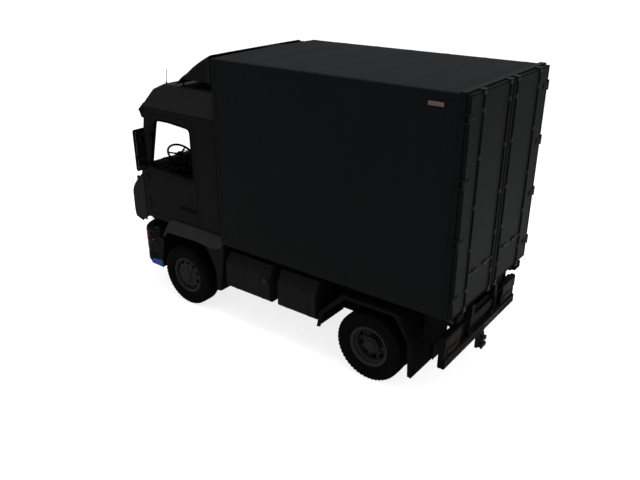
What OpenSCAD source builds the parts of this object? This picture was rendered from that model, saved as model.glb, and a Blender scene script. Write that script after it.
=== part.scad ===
// Short-wheelbase two-axle box truck with a high-roof tilting cab.
// Front faces -Y, the driver's side is +X, the ground is Z = 0 and the
// origin is the middle of the footprint.

/* [Overall] */
// Length from the cab front to the rear door gear
overall_len = 6470; // [6000:10:7000]
// Distance between the front and rear axles
wheelbase = 3800; // [3500:10:4100]
// Distance from the cab front to the front axle
front_overhang = 1390; // [1300:10:1450]

/* [Load box] */
// Outside width of the load box
box_w = 2500; // [2300:10:2550]
// Length of the load box, front wall to rear doors
box_len = 4100; // [3700:10:4300]
// Outside height of the load box
box_h = 2960; // [2200:10:3100]
// Height of the box's underside above the ground
box_bottom = 1430; // [1400:5:1500]
// Thickness of the side, front and roof panels
box_wall = 40; // [25:1:60]
// Thickness of the load floor
floor_t = 90; // [60:1:120]
// Thickness of each rear door
box_door_t = 50; // [35:1:60]
// Width of the rear frame's posts
rear_post_w = 85; // [60:1:120]

/* [Cab] */
// Outside width of the cab
cab_w = 2300; // [2200:10:2400]
// Free space between the cab's rear wall and the box
cab_gap = 120; // [90:5:200]
// Thickness of the cab's walls and doors
cab_wall = 50; // [35:1:60]
// Height of the cab floor's underside
cab_floor_z = 1430; // [1420:5:1480]
// Width of the air gap round each cab door
door_gap = 8; // [6:1:12]

/* [Running gear] */
// Outside radius of every tyre
tyre_r = 550; // [520:5:560]
// Width of every tyre
tyre_w = 295; // [260:5:310]
// Radius of the rim flange
rim_r = 318; // [290:1:330]
// Distance from the centre line to the middle of a front tyre
front_track = 1080; // [1060:5:1090]
// Distance from the middle of a front tyre in to its king pin
kingpin_inset = 185; // [180:1:190]
// Free space between a rear spring and the inner tyre beside it
tyre_clear = 85; // [70:5:95]
// Free space between twin tyres
twin_gap = 47; // [40:1:60]
// Radius of a king pin
kingpin_r = 28; // [22:1:32]
// Radius of a wheel spindle
spindle_r = 40; // [32:1:48]

/* [Chassis] */
// Outside width over the two frame rails
frame_w = 850; // [800:5:870]
// Height of the frame rails' top face
rail_top = 1090; // [1060:5:1110]
// Depth of a frame rail
rail_h = 260; // [220:5:280]
// Width of a frame rail's flanges
rail_flange = 75; // [60:1:90]
// Thickness of a frame rail's web and flanges
rail_t = 10; // [8:1:12]
// Width of the leaf springs
spring_w = 90; // [70:5:100]
// Length of the front tank on each side
tank_len = 950; // [700:10:1000]
// Radius of the tow coupling's pin hole
tow_pin_r = 20; // [15:0.5:25]

/* [Hidden] */
$fn = 48;
fit = 0.3;             // gap between faces that rest on each other
front_y = -overall_len / 2;
rear_y = overall_len / 2;
front_axle_y = front_y + front_overhang;
rear_axle_y = front_axle_y + wheelbase;
axle_z = tyre_r;
box_top = box_bottom + box_h;
door_gear = 20;        // how far hinges and lock gear stand behind the doors
box_rear_y = rear_y - door_gear;
box_front_y = box_rear_y - box_len;
cab_rear_y = box_front_y - cab_gap;
cab_x = cab_w / 2;
rail_x = frame_w / 2;
rail_bottom = rail_top - rail_h;
rail_start = front_y + 150;
rail_end = rear_y - 90;
runner_h = 200;        // box subframe runners that lie on the rails
runner_w = 80;
bearer_w = 80;
bearer_inset = 250;    // how far the bearers' ends lie inside the box's sides
// Places across the truck that follow the springs and the tyres
spring_half = spring_w / 2;
spring_x = rail_x + 3 + spring_half;
spring_out = spring_x + spring_half;
twin_pitch = tyre_w + twin_gap;
inner_track = spring_out + tyre_clear + tyre_w / 2;
rear_track = inner_track + twin_pitch;
kingpin_x = front_track - kingpin_inset;
// Cab tilt pivot, low at the front
pivot_y = front_y + 225;
pivot_z = rail_top - 10;
pivot_r = 30;
// Heights on the cab
belt_z = 2330;         // lower edge of the side windows
window_top = 3240;
door_top = 3330;
door_bottom = 1520;
eaves_z = 3420;        // where the roof cap sits on the walls
roof_z = 3840;
ledge_z = 2140;        // underside of the ledge below the windscreen
floor_top = cab_floor_z + 60;
hinge_y = front_y + 545;         // front edge of the cab doors
door_rear_y = hinge_y + 1190;
screen_base = [front_y + 330, 2230];
screen_top = [front_y + 570, eaves_z];
nose_bottom = 1300;

module slab(low, high) translate(low) cube(high - low);
module both() {
    children();
    mirror([1, 0, 0]) children();
}
// Half an outline that starts on the centre line, with its mirrored half added
function mirrored(half) = concat(half, [for (i = [len(half) - 1 : -1 : 0]) if (half[i][0] > 0)
    [-half[i][0], half[i][1]]]);
// A Y-Z outline made solid between two X positions
module side_plate(x0, x1, outline)
    translate([x0, 0, 0]) rotate([90, 0, 90]) linear_extrude(x1 - x0) polygon(outline);
module rod_x(r, x0, x1) translate([x0, 0, 0]) rotate([0, 90, 0]) cylinder(r = r, h = x1 - x0);
module rod_z(r, z0, z1) translate([0, 0, z0]) cylinder(r = r, h = z1 - z0);
module turned_x(outline) rotate([0, 90, 0]) rotate_extrude($fn = 96) polygon(outline);

// ---- chassis ----
module rail_section() {
    difference() {
        square([rail_flange, rail_h]);
        translate([-1, rail_t]) square([rail_flange - rail_t + 1, rail_h - 2 * rail_t]);
    }
}
module frame_rails() color("#202022") both()
    translate([rail_x - rail_flange, rail_end, rail_bottom]) rotate([90, 0, 0])
        linear_extrude(rail_end - rail_start) rail_section();

hoop_y = cab_rear_y + 60;
hoop_foot = rail_bottom + 140;
cross_y = [front_axle_y - 620, front_axle_y + 1300, 250, rear_axle_y - 430, rear_axle_y + 430,
    rear_y - 160];
module crossmembers() color("#202022") {
    web_gap = rail_x - rail_t - fit;
    for (y = cross_y) slab([-web_gap, y - 35, rail_bottom + 60], [web_gap, y + 35, rail_top - 60]);
    // cab pivot pins, each on a bracket outside its rail
    both() translate([0, pivot_y, pivot_z]) rod_x(pivot_r, rail_x + 10, rail_x + 130);
    both() slab([rail_x + fit, pivot_y - 60, pivot_z - 130], [rail_x + 40, pivot_y + 60, pivot_z + 60]);
    // hoop that the back of the cab rests on
    both() slab([rail_x + fit, hoop_y - 30, hoop_foot], [rail_x + 60, hoop_y + 30, cab_floor_z - 60]);
    slab([-rail_x - 60, hoop_y - 30, cab_floor_z - 110], [rail_x + 60, hoop_y + 30, cab_floor_z - fit]);
}

bearer_count = 9;
bearer_step = (box_len - 300) / (bearer_count - 1);
module box_subframe() color("#1c1c1e") {
    both() slab([rail_x - runner_w, box_front_y + 60, rail_top + fit],
        [rail_x, box_rear_y - 60, rail_top + runner_h]);
    for (i = [0 : bearer_count - 1]) let (y = box_front_y + 110 + i * bearer_step)
        slab([-box_w / 2 + bearer_inset, y, rail_top + runner_h + fit],
            [box_w / 2 - bearer_inset, y + bearer_w, box_bottom - fit]);
}

engine_front = front_axle_y - 520;
engine_rear = front_axle_y + 500;
module engine() color("#2a2a2c") {
    slab([-300, engine_front, axle_z + 90], [300, engine_rear, cab_floor_z - 60]);
    // feet that sit inside the rails
    both() for (y = [engine_front + 150, engine_rear - 150])
        slab([300, y - 40, rail_bottom + 60], [rail_x - rail_t - fit, y + 40, rail_bottom + 160]);
}

gearbox_len = 700;
module prop_shaft() color("#2a2a2c") {
    slab([-190, engine_rear + fit, axle_z + 120], [190, engine_rear + gearbox_len, axle_z + 480]);
    translate([0, 0, axle_z + 180]) rotate([-90, 0, 0])
        translate([0, 0, engine_rear + gearbox_len]) cylinder(r = 55, h = 200);
    shaft_from = [engine_rear + gearbox_len + 200, axle_z + 180];
    shaft_to = [rear_axle_y - 250, axle_z + 30];
    run_y = shaft_to[0] - shaft_from[0];
    drop = shaft_from[1] - shaft_to[1];
    translate([0, shaft_from[0], shaft_from[1]]) rotate([-90 - atan2(drop, run_y), 0, 0])
        cylinder(r = 50, h = norm([run_y, drop]) - 20);
}

// Front axle: a beam that is flat under the springs and rises to the king pin eyes
eye_r = kingpin_r + 27;
eye_h = 110;
beam_top = axle_z - 50;
beam_h = 100;
beam_end = spring_out + 42;
module front_axle() color("#232325") difference() {
    union() {
        slab([-beam_end - 40, front_axle_y - 45, beam_top - beam_h],
            [beam_end + 40, front_axle_y + 45, beam_top]);
        both() {
            eye_low = axle_z - eye_h / 2;
            translate([0, front_axle_y + 40, 0]) rotate([90, 0, 0]) linear_extrude(80)
                polygon([[beam_end, beam_top - beam_h], [kingpin_x - 75, eye_low], [kingpin_x, eye_low],
                    [kingpin_x, eye_low + eye_h], [kingpin_x - 40, eye_low + eye_h], [beam_end, beam_top]]);
            translate([kingpin_x, front_axle_y, 0]) rod_z(eye_r, eye_low, eye_low + eye_h);
        }
    }
    both() translate([kingpin_x, front_axle_y, 0]) rod_z(kingpin_r + fit, axle_z - 100, axle_z + 100);
}

axle_tube_r = 75;
module rear_axle() color("#232325") {
    translate([0, rear_axle_y, axle_z]) {
        rod_x(axle_tube_r, -spring_out - 20, spring_out + 20);
        rotate([-90, 0, 0]) translate([0, 0, -230]) cylinder(r1 = 90, r2 = 210, h = 130);
        rotate([-90, 0, 0]) translate([0, 0, -100]) cylinder(r = 210, h = 260);
        both() rod_x(spindle_r, spring_out, rear_track + 80);
    }
}

// A leaf pack is a shallow arc of stacked leaves, held by a hanger at each end
leaf_rise = 70;        // how far its ends stand above its middle
leaf_t = 34;           // thickness at its ends, and what the middle adds
leaf_extra = 40;
hanger_l = 70;
module leaf_spring(y, half_len, seat_z) {
    steps = [-1 : 1 / 8 : 1];
    side_plate(-spring_half, spring_half, concat(
        [for (i = steps) [y + i * half_len, seat_z + leaf_rise * i * i]],
        [for (i = steps) [y - i * half_len,
            seat_z + leaf_t + leaf_extra * (1 - abs(i)) + leaf_rise * i * i]]));
    for (s = [-1, 1]) let (end = y + s * (half_len - 30))
        slab([rail_x + fit - spring_x, end - hanger_l / 2, seat_z + leaf_rise + 20],
            [spring_half - 5, end + hanger_l / 2, rail_top - 30]);
}
module leaf_springs() color("#1a1a1c") both() translate([spring_x, 0, 0]) {
    leaf_spring(front_axle_y, 720, beam_top + fit);
    leaf_spring(rear_axle_y, 700, axle_z + axle_tube_r + fit);
}

// Tanks and lockers share one chamfered section and fill the space between the axles
tank_in = rail_x + 105;
tank_out = 1235;
tank_bottom = 655;
tank_edge = 1072;      // where the upper chamfer starts
tank_chamfer = 115;
tank_top = 1270;
tank_start = front_axle_y + 1000;
tank_end = rear_axle_y - 948;
tank_gap = 160;
locker_len = 700;
locker_gap = 120;
module tank(y0, y1) {
    translate([0, y1, 0]) rotate([90, 0, 0]) linear_extrude(y1 - y0)
        polygon([[tank_in, tank_bottom + 60], [tank_in + 60, tank_bottom], [tank_out - 50, tank_bottom],
            [tank_out, tank_bottom + 50], [tank_out, tank_edge], [tank_out - tank_chamfer, tank_top],
            [tank_in, tank_top]]);
    // brackets to the rail, below the foot of the cab's hoop
    for (share = [0.2, 0.8]) let (y = y0 + share * (y1 - y0))
        slab([rail_x + fit, y - 30, rail_bottom + 5], [tank_in + 1, y + 30, hoop_foot - 10]);
}
module side_tanks() color("#2c2d30") {
    tank(tank_start, tank_start + tank_len);
    tank(tank_start + tank_len + tank_gap, tank_end);
}
module side_lockers() color("#2c2d30") mirror([1, 0, 0]) {
    tank(tank_start, tank_start + locker_len);
    tank(tank_start + locker_len + locker_gap, tank_end);
}

// Rear mudguards: a folded strip over each pair of twins with a flap behind, on stays from the runners
guard_t = 25;
guard_in = inner_track - tyre_w / 2 - 30;
guard_out = rear_track + tyre_w / 2 + 5;
guard_z = rail_top + runner_h - 12;
module rear_mudguards() color("#1d1d1f") both() {
    y = rear_axle_y;
    outer = [[y - 914, 585], [y - 862, 852], [y - 480, guard_z - 25], [y - 420, guard_z], [y + 420, guard_z],
        [y + 500, guard_z - 30], [y + 715, 860], [y + 735, 330]];
    inner = [[guard_t, 0], [guard_t, -8], [guard_t, -guard_t], [0, -guard_t], [0, -guard_t], [-guard_t, -guard_t],
        [-guard_t, 0], [-guard_t, 0]];
    side_plate(guard_in, guard_out,
        concat(outer, [for (i = [len(outer) - 1 : -1 : 0]) outer[i] + inner[i]]));
    for (s = [-1, 1]) slab([rail_x + fit, y + s * 380 - 25, guard_z - guard_t - 50],
        [guard_in + 60, y + s * 380 + 25, guard_z - 1]);
}

// Underrun beam, with the lamp panels on it and the coupling below it
under_z = 640;
under_top = under_z + 130;
under_x = 1190;
lamp_in = 700;
lamp_top = 1120;
module rear_underrun() color("#1b1b1d") {
    slab([-under_x, rear_y - 185, under_z], [under_x, rear_y - 85, under_top]);
    both() slab([rail_x - 70, rear_y - 160, under_top], [rail_x - 20, rear_y - 100, rail_bottom - fit]);
}
module tail_lamps() color("#3a1a1a") both()
    slab([lamp_in, rear_y - 170, under_top + fit], [under_x, rear_y - 90, lamp_top]);
tow_z = 500;
tow_y = rear_y - 60;
jaw_gap = 50;          // height between the two jaw plates
jaw_t = 55;
module tow_coupling() color("#202022") difference() {
    union() {
        slab([-110, rear_y - 125, tow_z - 80], [110, rear_y - 85, under_z - fit]);
        for (z = [tow_z + jaw_gap / 2, tow_z - jaw_gap / 2 - jaw_t])
            slab([-70, rear_y - 90, z], [70, tow_y + 40, z + jaw_t]);
    }
    translate([0, tow_y, 0]) rod_z(tow_pin_r, tow_z - 100, tow_z + 100);
}

// ---- front of the chassis ----
bumper_bottom = 495;
bumper_top = 1190;
bumper_x = 1180;
bumper_t = 40;
// Front outline of the bumper from the middle to its rear end: [x, distance behind its front]
bumper_line = [[0, 0], [700, 12], [1060, 130], [bumper_x, 330], [bumper_x, 560]];
module front_bumper() color("#26272a") {
    y0 = front_y + 60;
    inner_line = [[0, 50], [680, 62], [1030, 175], [bumper_x - bumper_t, 345], [bumper_x - bumper_t, 561]];
    translate([0, y0, bumper_bottom]) linear_extrude(bumper_top - bumper_bottom)
        difference() {
            polygon(mirrored(bumper_line));
            polygon(mirrored(inner_line));
        }
    // brackets that close each rail's front end
    both() slab([rail_x - 60, y0 + 40, rail_bottom + 20], [rail_x, rail_start - fit, rail_top - 60]);
}

// Front mudguards: a skin over the wheel, and a deep lip outside the cab's lower edge
arch_in = 640;
arch_out = 1245;
lip_in = cab_x + 10;
lip_w = 30;
lip_top = door_bottom - 12;
lip_low = 1290;
arch_arm_y = 800;      // front edge of the skin's bracket, behind the axle
arch_arm_w = 95;
arch_skin = [[-528, 1196], [-400, 1385], [880, 1385], [945, 1310], [934, 1093], [882, 743], [814, 494],
    [779, 494], [847, 750], [899, 1095], [908, 1295], [862, 1350], [-382, 1350], [-495, 1180]];
arch_lip = [[-528, 1196], [-335, 1470], [-300, lip_top], [905, lip_top], [950, 1440], [952, 1317],
    [934, 1093], [882, 743], [814, 494], [744, 509], [751, 854], [657, 1105], [505, 1247], [400, lip_low],
    [-380, lip_low], [-440, 1240], [-480, 1180]];
arch_cap = [[-400, 1384], [-335, 1470], [-300, lip_top], [905, lip_top], [950, 1440], [948, 1384]];
module front_mudguards() color("#2e2e30") both() {
    translate([0, front_axle_y, 0]) {
        side_plate(arch_in, arch_out, arch_skin);
        side_plate(arch_out - lip_w, arch_out, arch_lip);
        side_plate(lip_in, arch_out, arch_cap);
        // bracket from the rail, below the foot of the cab's hoop
        slab([rail_x + fit, arch_arm_y, rail_bottom + 50],
            [arch_in + 40, arch_arm_y + arch_arm_w, rail_bottom + 110]);
    }
}

// ---- load box ----
box_x = box_w / 2;
panel_front = box_front_y + box_wall;
panel_rear = box_rear_y - box_door_t - 5 - rear_post_w;
module box_floor() color("#34322e")
    slab([-box_x, panel_front, box_bottom], [box_x, panel_rear, box_bottom + floor_t]);
module box_front_wall() color("#1c1d1f")
    slab([-box_x, box_front_y, box_bottom], [box_x, panel_front, box_top - box_wall]);
module box_wall_left() slab([box_x - box_wall, panel_front, box_bottom + floor_t],
    [box_x, panel_rear, box_top - box_wall]);
module box_left_wall() color("#141517") box_wall_left();
module box_right_wall() color("#141517") mirror([1, 0, 0]) box_wall_left();
module box_roof() color("#24282c")
    slab([-box_x, box_front_y, box_top - box_wall], [box_x, panel_rear, box_top]);
sill_h = 130;
header_h = 120;
box_hinge = [box_x + 20, box_rear_y + 4];
box_hinge_r = 9;
knuckle_h = 80;
hinge_levels = [for (i = [0 : 3]) box_bottom + 300 + i * (box_h - 600) / 3];
module box_rear_frame() color("#1a1b1d") {
    frame_rear = panel_rear + rear_post_w;
    difference() {
        slab([-box_x, panel_rear, box_bottom], [box_x, frame_rear, box_top]);
        slab([-box_x + rear_post_w, panel_rear - 1, box_bottom + sill_h],
            [box_x - rear_post_w, frame_rear + 1, box_top - header_h]);
    }
    // fixed halves of the door hinges, above and below each door knuckle
    both() for (z = hinge_levels, s = [-1, 1]) let (z0 = z + s * (knuckle_h / 2 + fit + 15) - 15) {
        slab([box_x, frame_rear - 60, z0], [box_x + 8, box_hinge[1], z0 + 30]);
        slab([box_x, box_hinge[1] - 4, z0], [box_hinge[0], box_hinge[1] + 4, z0 + 30]);
        translate([box_hinge[0], box_hinge[1], 0]) rod_z(box_hinge_r, z0, z0 + 30);
    }
}
module box_door() {
    slab([4, box_rear_y - box_door_t, box_bottom + 25], [box_x - 15, box_rear_y, box_top - 25]);
    for (z = hinge_levels) {
        slab([box_x - 160, box_rear_y - 5, z - knuckle_h / 2],
            [box_hinge[0], box_rear_y + 8, z + knuckle_h / 2]);
        translate([box_hinge[0], box_hinge[1], 0]) rod_z(box_hinge_r, z - knuckle_h / 2, z + knuckle_h / 2);
    }
    for (x = [110, 880]) translate([x, box_rear_y + 6, 0]) rod_z(14, box_bottom + 60, box_top - 60);
}
module left_box_door() color("#1e2022") box_door();
module right_box_door() color("#1e2022") mirror([1, 0, 0]) box_door();

// ---- steering ----
arm_len = 230;
module knuckle() translate([kingpin_x, front_axle_y, axle_z]) {
    rod_z(kingpin_r, -105, 105);
    ear = eye_h / 2 + 2;
    for (s = [0, 1]) mirror([0, 0, s]) {
        rod_z(60, ear, ear + 40);
        slab([0, -60, ear], [95, 60, ear + 40]);
    }
    slab([65, -60, -ear - 40], [95, 60, ear + 40]);
    rod_x(spindle_r, 90, kingpin_inset + 70);
    // arm back to the tie rod
    slab([-30, 40, -ear - 40], [30, arm_len + 30, -ear - 12]);
}
module left_knuckle() color("#2b2b2d") knuckle();
module right_knuckle() color("#2b2b2d") mirror([1, 0, 0]) knuckle();
rod_y = front_axle_y + arm_len;
rod_z0 = axle_z - eye_h / 2 - 42;
module tie_rod() color("#2b2b2d") {
    translate([0, rod_y, rod_z0 - 24]) rod_x(18, -kingpin_x + 20, kingpin_x - 20);
    both() translate([kingpin_x, rod_y, 0]) rod_z(26, rod_z0 - 50, rod_z0 - fit);
}

// ---- wheels ----
seat_r = rim_r - 26;
rim_half = tyre_w / 2 - 25;
bead = rim_half - 14;      // half width between the flanges at the seat
flange = rim_half - 8;     // half width between the flanges at their tips
rim_section = [[seat_r - 14, -rim_half], [rim_r, -rim_half], [rim_r, -flange], [seat_r, -bead],
    [seat_r, bead], [rim_r, flange], [rim_r, rim_half], [seat_r - 14, rim_half]];
module tyre(x, y) translate([x, y, axle_z]) turned_x([
    [seat_r + fit, fit - bead], [rim_r + fit, fit - flange], [rim_r + 20, -tyre_w / 2 + 14],
    [tyre_r - 110, -tyre_w / 2],
    [tyre_r - 36, -tyre_w / 2 + 10], [tyre_r - 8, -tyre_w / 2 + 26], [tyre_r, -tyre_w / 2 + 50],
    [tyre_r, tyre_w / 2 - 50], [tyre_r - 8, tyre_w / 2 - 26], [tyre_r - 36, tyre_w / 2 - 10],
    [tyre_r - 110, tyre_w / 2], [rim_r + 20, tyre_w / 2 - 14], [rim_r + fit, flange - fit],
    [seat_r + fit, bead - fit]]);
disc_t = 14;
hub_r = 110;
module brake_drum(x, y, x0, x1) translate([x, y, axle_z]) difference() {
    rod_x(205, x0, x1);
    rod_x(185, x0 - 1, x1 - 16);
    rod_x(spindle_r + fit, x0, x1 + 1);
}
module front_rim() {
    translate([front_track, front_axle_y, axle_z]) difference() {
        union() {
            turned_x(rim_section);
            rod_x(seat_r - 10, 70, 70 + disc_t);
            rod_x(hub_r, 20, 150);
        }
        rod_x(spindle_r + fit, -80, 120);
    }
    brake_drum(front_track, front_axle_y, -60, 70.5);
}
module rear_rims() {
    disc = 60 - rim_half;       // how far the outer disc is set in from the tyre's middle
    translate([rear_track, rear_axle_y, axle_z]) difference() {
        union() {
            turned_x(rim_section);
            rod_x(seat_r - 10, disc, disc + disc_t);
            rod_x(hub_r, disc - 10, 120);
        }
        rod_x(spindle_r + fit, disc - 110, 90);
    }
    translate([inner_track, rear_axle_y, axle_z]) difference() {
        union() {
            turned_x(rim_section);
            rod_x(seat_r - 10, rim_half - 20, rim_half - 20 + disc_t);
            rod_x(hub_r, rim_half - 8, twin_pitch + disc + 4);
        }
        rod_x(spindle_r + fit, -200, twin_pitch + 58);
    }
    brake_drum(inner_track, rear_axle_y, -100, rim_half - 19);
}
module left_front_tyre() color("#060606") tyre(front_track, front_axle_y);
module left_front_rim() color("#303034") front_rim();
module right_front_tyre() color("#060606") mirror([1, 0, 0]) tyre(front_track, front_axle_y);
module right_front_rim() color("#303034") mirror([1, 0, 0]) front_rim();
module rear_tyres() for (x = [rear_track, inner_track]) tyre(x, rear_axle_y);
module left_rear_tyres() color("#060606") rear_tyres();
module left_rear_rims() color("#303034") rear_rims();
module right_rear_tyres() color("#060606") mirror([1, 0, 0]) rear_tyres();
module right_rear_rims() color("#303034") mirror([1, 0, 0]) rear_rims();

// ---- cab ----
shell_front = hinge_y - 30;      // rear edge of the front panel's corner wraps
arm_x = rail_x + 60;             // inner face of the cab's tilt arms
arm_t = 50;
module cab_floor() color("#1e1e20") {
    slab([-cab_x + cab_wall, shell_front, cab_floor_z], [cab_x - cab_wall, cab_rear_y - cab_wall, floor_top]);
    both() difference() {
        union() {
            slab([arm_x, pivot_y - 50, pivot_z - 50], [arm_x + arm_t, shell_front + 60, pivot_z + 60]);
            slab([arm_x, shell_front, pivot_z - 50], [arm_x + arm_t, shell_front + 60, cab_floor_z + 10]);
        }
        translate([0, pivot_y, pivot_z]) rod_x(pivot_r + fit, 0, 900);
    }
}
module cab_rear_wall() color("#232325")
    slab([-cab_x, cab_rear_y - cab_wall, cab_floor_z], [cab_x, cab_rear_y, eaves_z]);

// Front panel: this side view, cut to a plan with rounded corners and cleared inside
nose = [[front_y + 190, nose_bottom], [front_y + 30, nose_bottom + 30], [front_y, 1450],
    [front_y + 5, 1850], [front_y + 60, 1960], [front_y + 200, 2120], screen_base];
nose_plan = [[0, 0], [600, 5], [cab_x - 90, 25], [cab_x, 90]];
ledge_y = screen_base[0] + cab_wall;
nose_inside = front_y + 110;
module cab_front_panel() color("#2b2c2e") intersection() {
    side_plate(-cab_x, cab_x, concat(nose, [[ledge_y, screen_base[1]], [ledge_y, ledge_z],
        [shell_front, ledge_z], [shell_front, cab_floor_z], [front_y + 190 + cab_wall, cab_floor_z],
        [front_y + 190 + cab_wall, nose_bottom]]));
    difference() {
        translate([0, front_y, 0]) linear_extrude(screen_base[1] + 10)
            polygon(mirrored(concat(nose_plan, [[cab_x, shell_front - front_y]])));
        side_plate(-cab_x + cab_wall, cab_x - cab_wall, [[nose_inside, floor_top], [nose_inside, 1935],
            [nose_inside + 175, ledge_z], [shell_front + 10, ledge_z], [shell_front + 10, floor_top]]);
    }
}

// Side frame: front pillar, cant rail and the panel behind the door
pillar_lean = 250;     // how far back the door's front edge leans at its top
pillar_foot = belt_z - 40;
door_outline = [[hinge_y, door_bottom], [hinge_y, pillar_foot], [hinge_y + pillar_lean, door_top],
    [door_rear_y, door_top], [door_rear_y, door_bottom]];
function grown(g) = [[hinge_y - g, door_bottom - g], [hinge_y - g, pillar_foot + g / 4],
    [hinge_y + pillar_lean - g, door_top + g], [door_rear_y + g, door_top + g],
    [door_rear_y + g, door_bottom - g]];
// Door hinges stand just outside the skin, over the gap in front of the door
door_hinge = [cab_x + 12, hinge_y - door_gap / 2];
door_hinge_r = 9;
door_knuckle = 70;
door_hinge_levels = [1700, 2150];
module hinge_barrel(z0, z1) translate([door_hinge[0], door_hinge[1], 0]) rod_z(door_hinge_r, z0, z1);
module cab_side() {
    difference() {
        side_plate(cab_x - cab_wall, cab_x, [[shell_front + fit, cab_floor_z],
            [shell_front + fit, ledge_z + fit], [ledge_y + fit, ledge_z + fit],
            [ledge_y + fit, screen_base[1]], [screen_top[0] + cab_wall, eaves_z],
            [cab_rear_y - cab_wall, eaves_z], [cab_rear_y - cab_wall, cab_floor_z]]);
        side_plate(cab_x - cab_wall - 1, cab_x + 1, grown(door_gap));
    }
    for (z = door_hinge_levels, s = [0, 1]) let (z0 = s ? z + door_knuckle + fit : z - 30 - fit) {
        slab([cab_x - 1, shell_front + 2, z0], [cab_x + 8, door_hinge[1], z0 + 30]);
        hinge_barrel(z0, z0 + 30);
    }
}
module cab_sides() color("#232325") both() cab_side();

// Roof cap: a sloped nose in side view, with the long edges chamfered
roof_line = [[screen_top[0] - 5, eaves_z], [screen_top[0] + 10, eaves_z + 40], [front_y + 826, roof_z - 112],
    [front_y + 1085, roof_z], [cab_rear_y - 20, roof_z], [cab_rear_y, roof_z - 30], [cab_rear_y, eaves_z]];
roof_inside = [[screen_top[0] + 65, eaves_z - 1], [screen_top[0] + 75, eaves_z + 40],
    [front_y + 860, roof_z - 165], [front_y + 1100, roof_z - cab_wall],
    [cab_rear_y - cab_wall, roof_z - cab_wall], [cab_rear_y - cab_wall, eaves_z - 1]];
roof_chamfer = [70, 130];
module roof_front_view(x, top) translate([0, cab_rear_y + 1, 0]) rotate([90, 0, 0])
    linear_extrude(cab_rear_y - front_y) polygon(mirrored([[0, eaves_z - 2], [x, eaves_z - 2],
        [x, top - roof_chamfer[1]], [x - roof_chamfer[0], top]]));
module cab_roof() color("#262627") difference() {
    intersection() {
        side_plate(-cab_x, cab_x, roof_line);
        roof_front_view(cab_x, roof_z);
    }
    intersection() {
        side_plate(-cab_x + cab_wall, cab_x - cab_wall, roof_inside);
        roof_front_view(cab_x - cab_wall, roof_z - cab_wall);
    }
}
glass_t = 8;
module windscreen() color("#30383c", 0.4)
    side_plate(-cab_x + cab_wall, cab_x - cab_wall, [screen_base + [20, fit],
        screen_base + [20 + glass_t, fit], screen_top + [20 + glass_t, -fit], screen_top + [20, -fit]]);
// Visor: a blade that stands out in front of the screen and follows the roof's front corner
module sun_visor() color("#262627")
    side_plate(-cab_x + 5, cab_x - 5, [screen_top + [-112, -70], screen_top + [-95, -85],
        screen_top + [8, 36], screen_top + [9.5, 40], screen_top + [31.5, 64]]);
// Wind deflector: a curved skin on side cheeks, which leave a gap above the roof behind their front feet
deflector_x = cab_x - 20;
deflector_t = 30;
cheek_z = roof_z + 138;
crown = [[front_y + 1430, roof_z + 50], [front_y + 1560, roof_z + 165], [front_y + 1668, roof_z + 252],
    [front_y + 1812, roof_z + 357], [front_y + 1990, roof_z + 460], [cab_rear_y - 70, box_top - 5]];
module roof_deflector() color("#27282a") {
    skin_back = [for (i = [len(crown) - 1 : -1 : 0]) crown[i] + [6, -deflector_t]];
    side_plate(-deflector_x, deflector_x, concat(crown, skin_back));
    both() side_plate(deflector_x - deflector_t, deflector_x, concat([for (p = crown) p - [0, 5]],
        [[cab_rear_y - 70, cheek_z], [crown[1][0], cheek_z], [crown[0][0] + 70, roof_z + 60]]));
    // feet, set in from the cheeks
    foot_x = deflector_x - 130;
    both() {
        side_plate(foot_x, foot_x + deflector_t, [[cab_rear_y - 170, roof_z + fit],
            [cab_rear_y - 90, roof_z + fit], [cab_rear_y - 90, box_top - 30],
            [cab_rear_y - 170, box_top - 70]]);
        side_plate(foot_x, foot_x + deflector_t, [[crown[0][0] + 15, roof_z + fit],
            [crown[0][0] + 95, roof_z + fit], [crown[0][0] + 95, roof_z + 100],
            [crown[0][0] + 15, roof_z + 35]]);
    }
}

// Steering wheel and the dashboard, whose housing carries its column
wheel_at = [560, hinge_y + 225, 2480];
wheel_tilt = 35;
column_r = 16;
module at_steering_wheel() translate(wheel_at) rotate([-wheel_tilt, 0, 0]) children();
module dashboard() color("#161618") difference() {
    union() {
        dash_body();
        at_steering_wheel() rod_z(48, -330, -50);
    }
    at_steering_wheel() rod_z(column_r + fit, -230, 0);
}
dash_line = [[20, 1930], [20, ledge_z + 100], [-120, ledge_z + 100], [-110, 2300], [-40, 2375],
    [290, 2385], [395, 2300], [330, 2090], [200, 1910]];
dash_inset = 12;       // keeps it clear of the closed doors
module dash_body() {
    wall = cab_x - cab_wall;
    side_plate(dash_inset - wall, wall - dash_inset, [for (p = dash_line) [shell_front + p[0], p[1]]]);
    // lugs to the side walls, in front of the doors
    both() slab([wall - dash_inset - 1, shell_front - 105, ledge_z + 105],
        [wall - fit, shell_front - 15, ledge_z + 150]);
}
module steering_wheel() color("#111112") at_steering_wheel() {
    rotate_extrude($fn = 64) translate([210, 0]) circle(r = 16, $fn = 24);
    rod_z(55, -25, 20);
    for (a = [90, 210, 330]) rotate([0, 0, a]) slab([0, -16, -10], [205, 16, 6]);
    rod_z(column_r, -200, -20);
}
// Seats: each a cushion and a reclined back in one side view, on a pedestal
seat_rear = cab_rear_y - 180;
seat_base = 1900;      // underside of the cushion
seat_line = [[-860, seat_base], [-850, seat_base + 130], [-330, seat_base + 110], [-160, seat_base + 860],
    [-60, seat_base + 860], [-200, seat_base]];
module seat(x) translate([x, seat_rear, 0]) {
    side_plate(-230, 230, seat_line);
    slab([-180, -780, floor_top + fit], [180, -300, seat_base + 1]);
}
module seats() color("#1b1b1d") for (x = [-wheel_at[0], wheel_at[0]]) seat(x);

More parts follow.
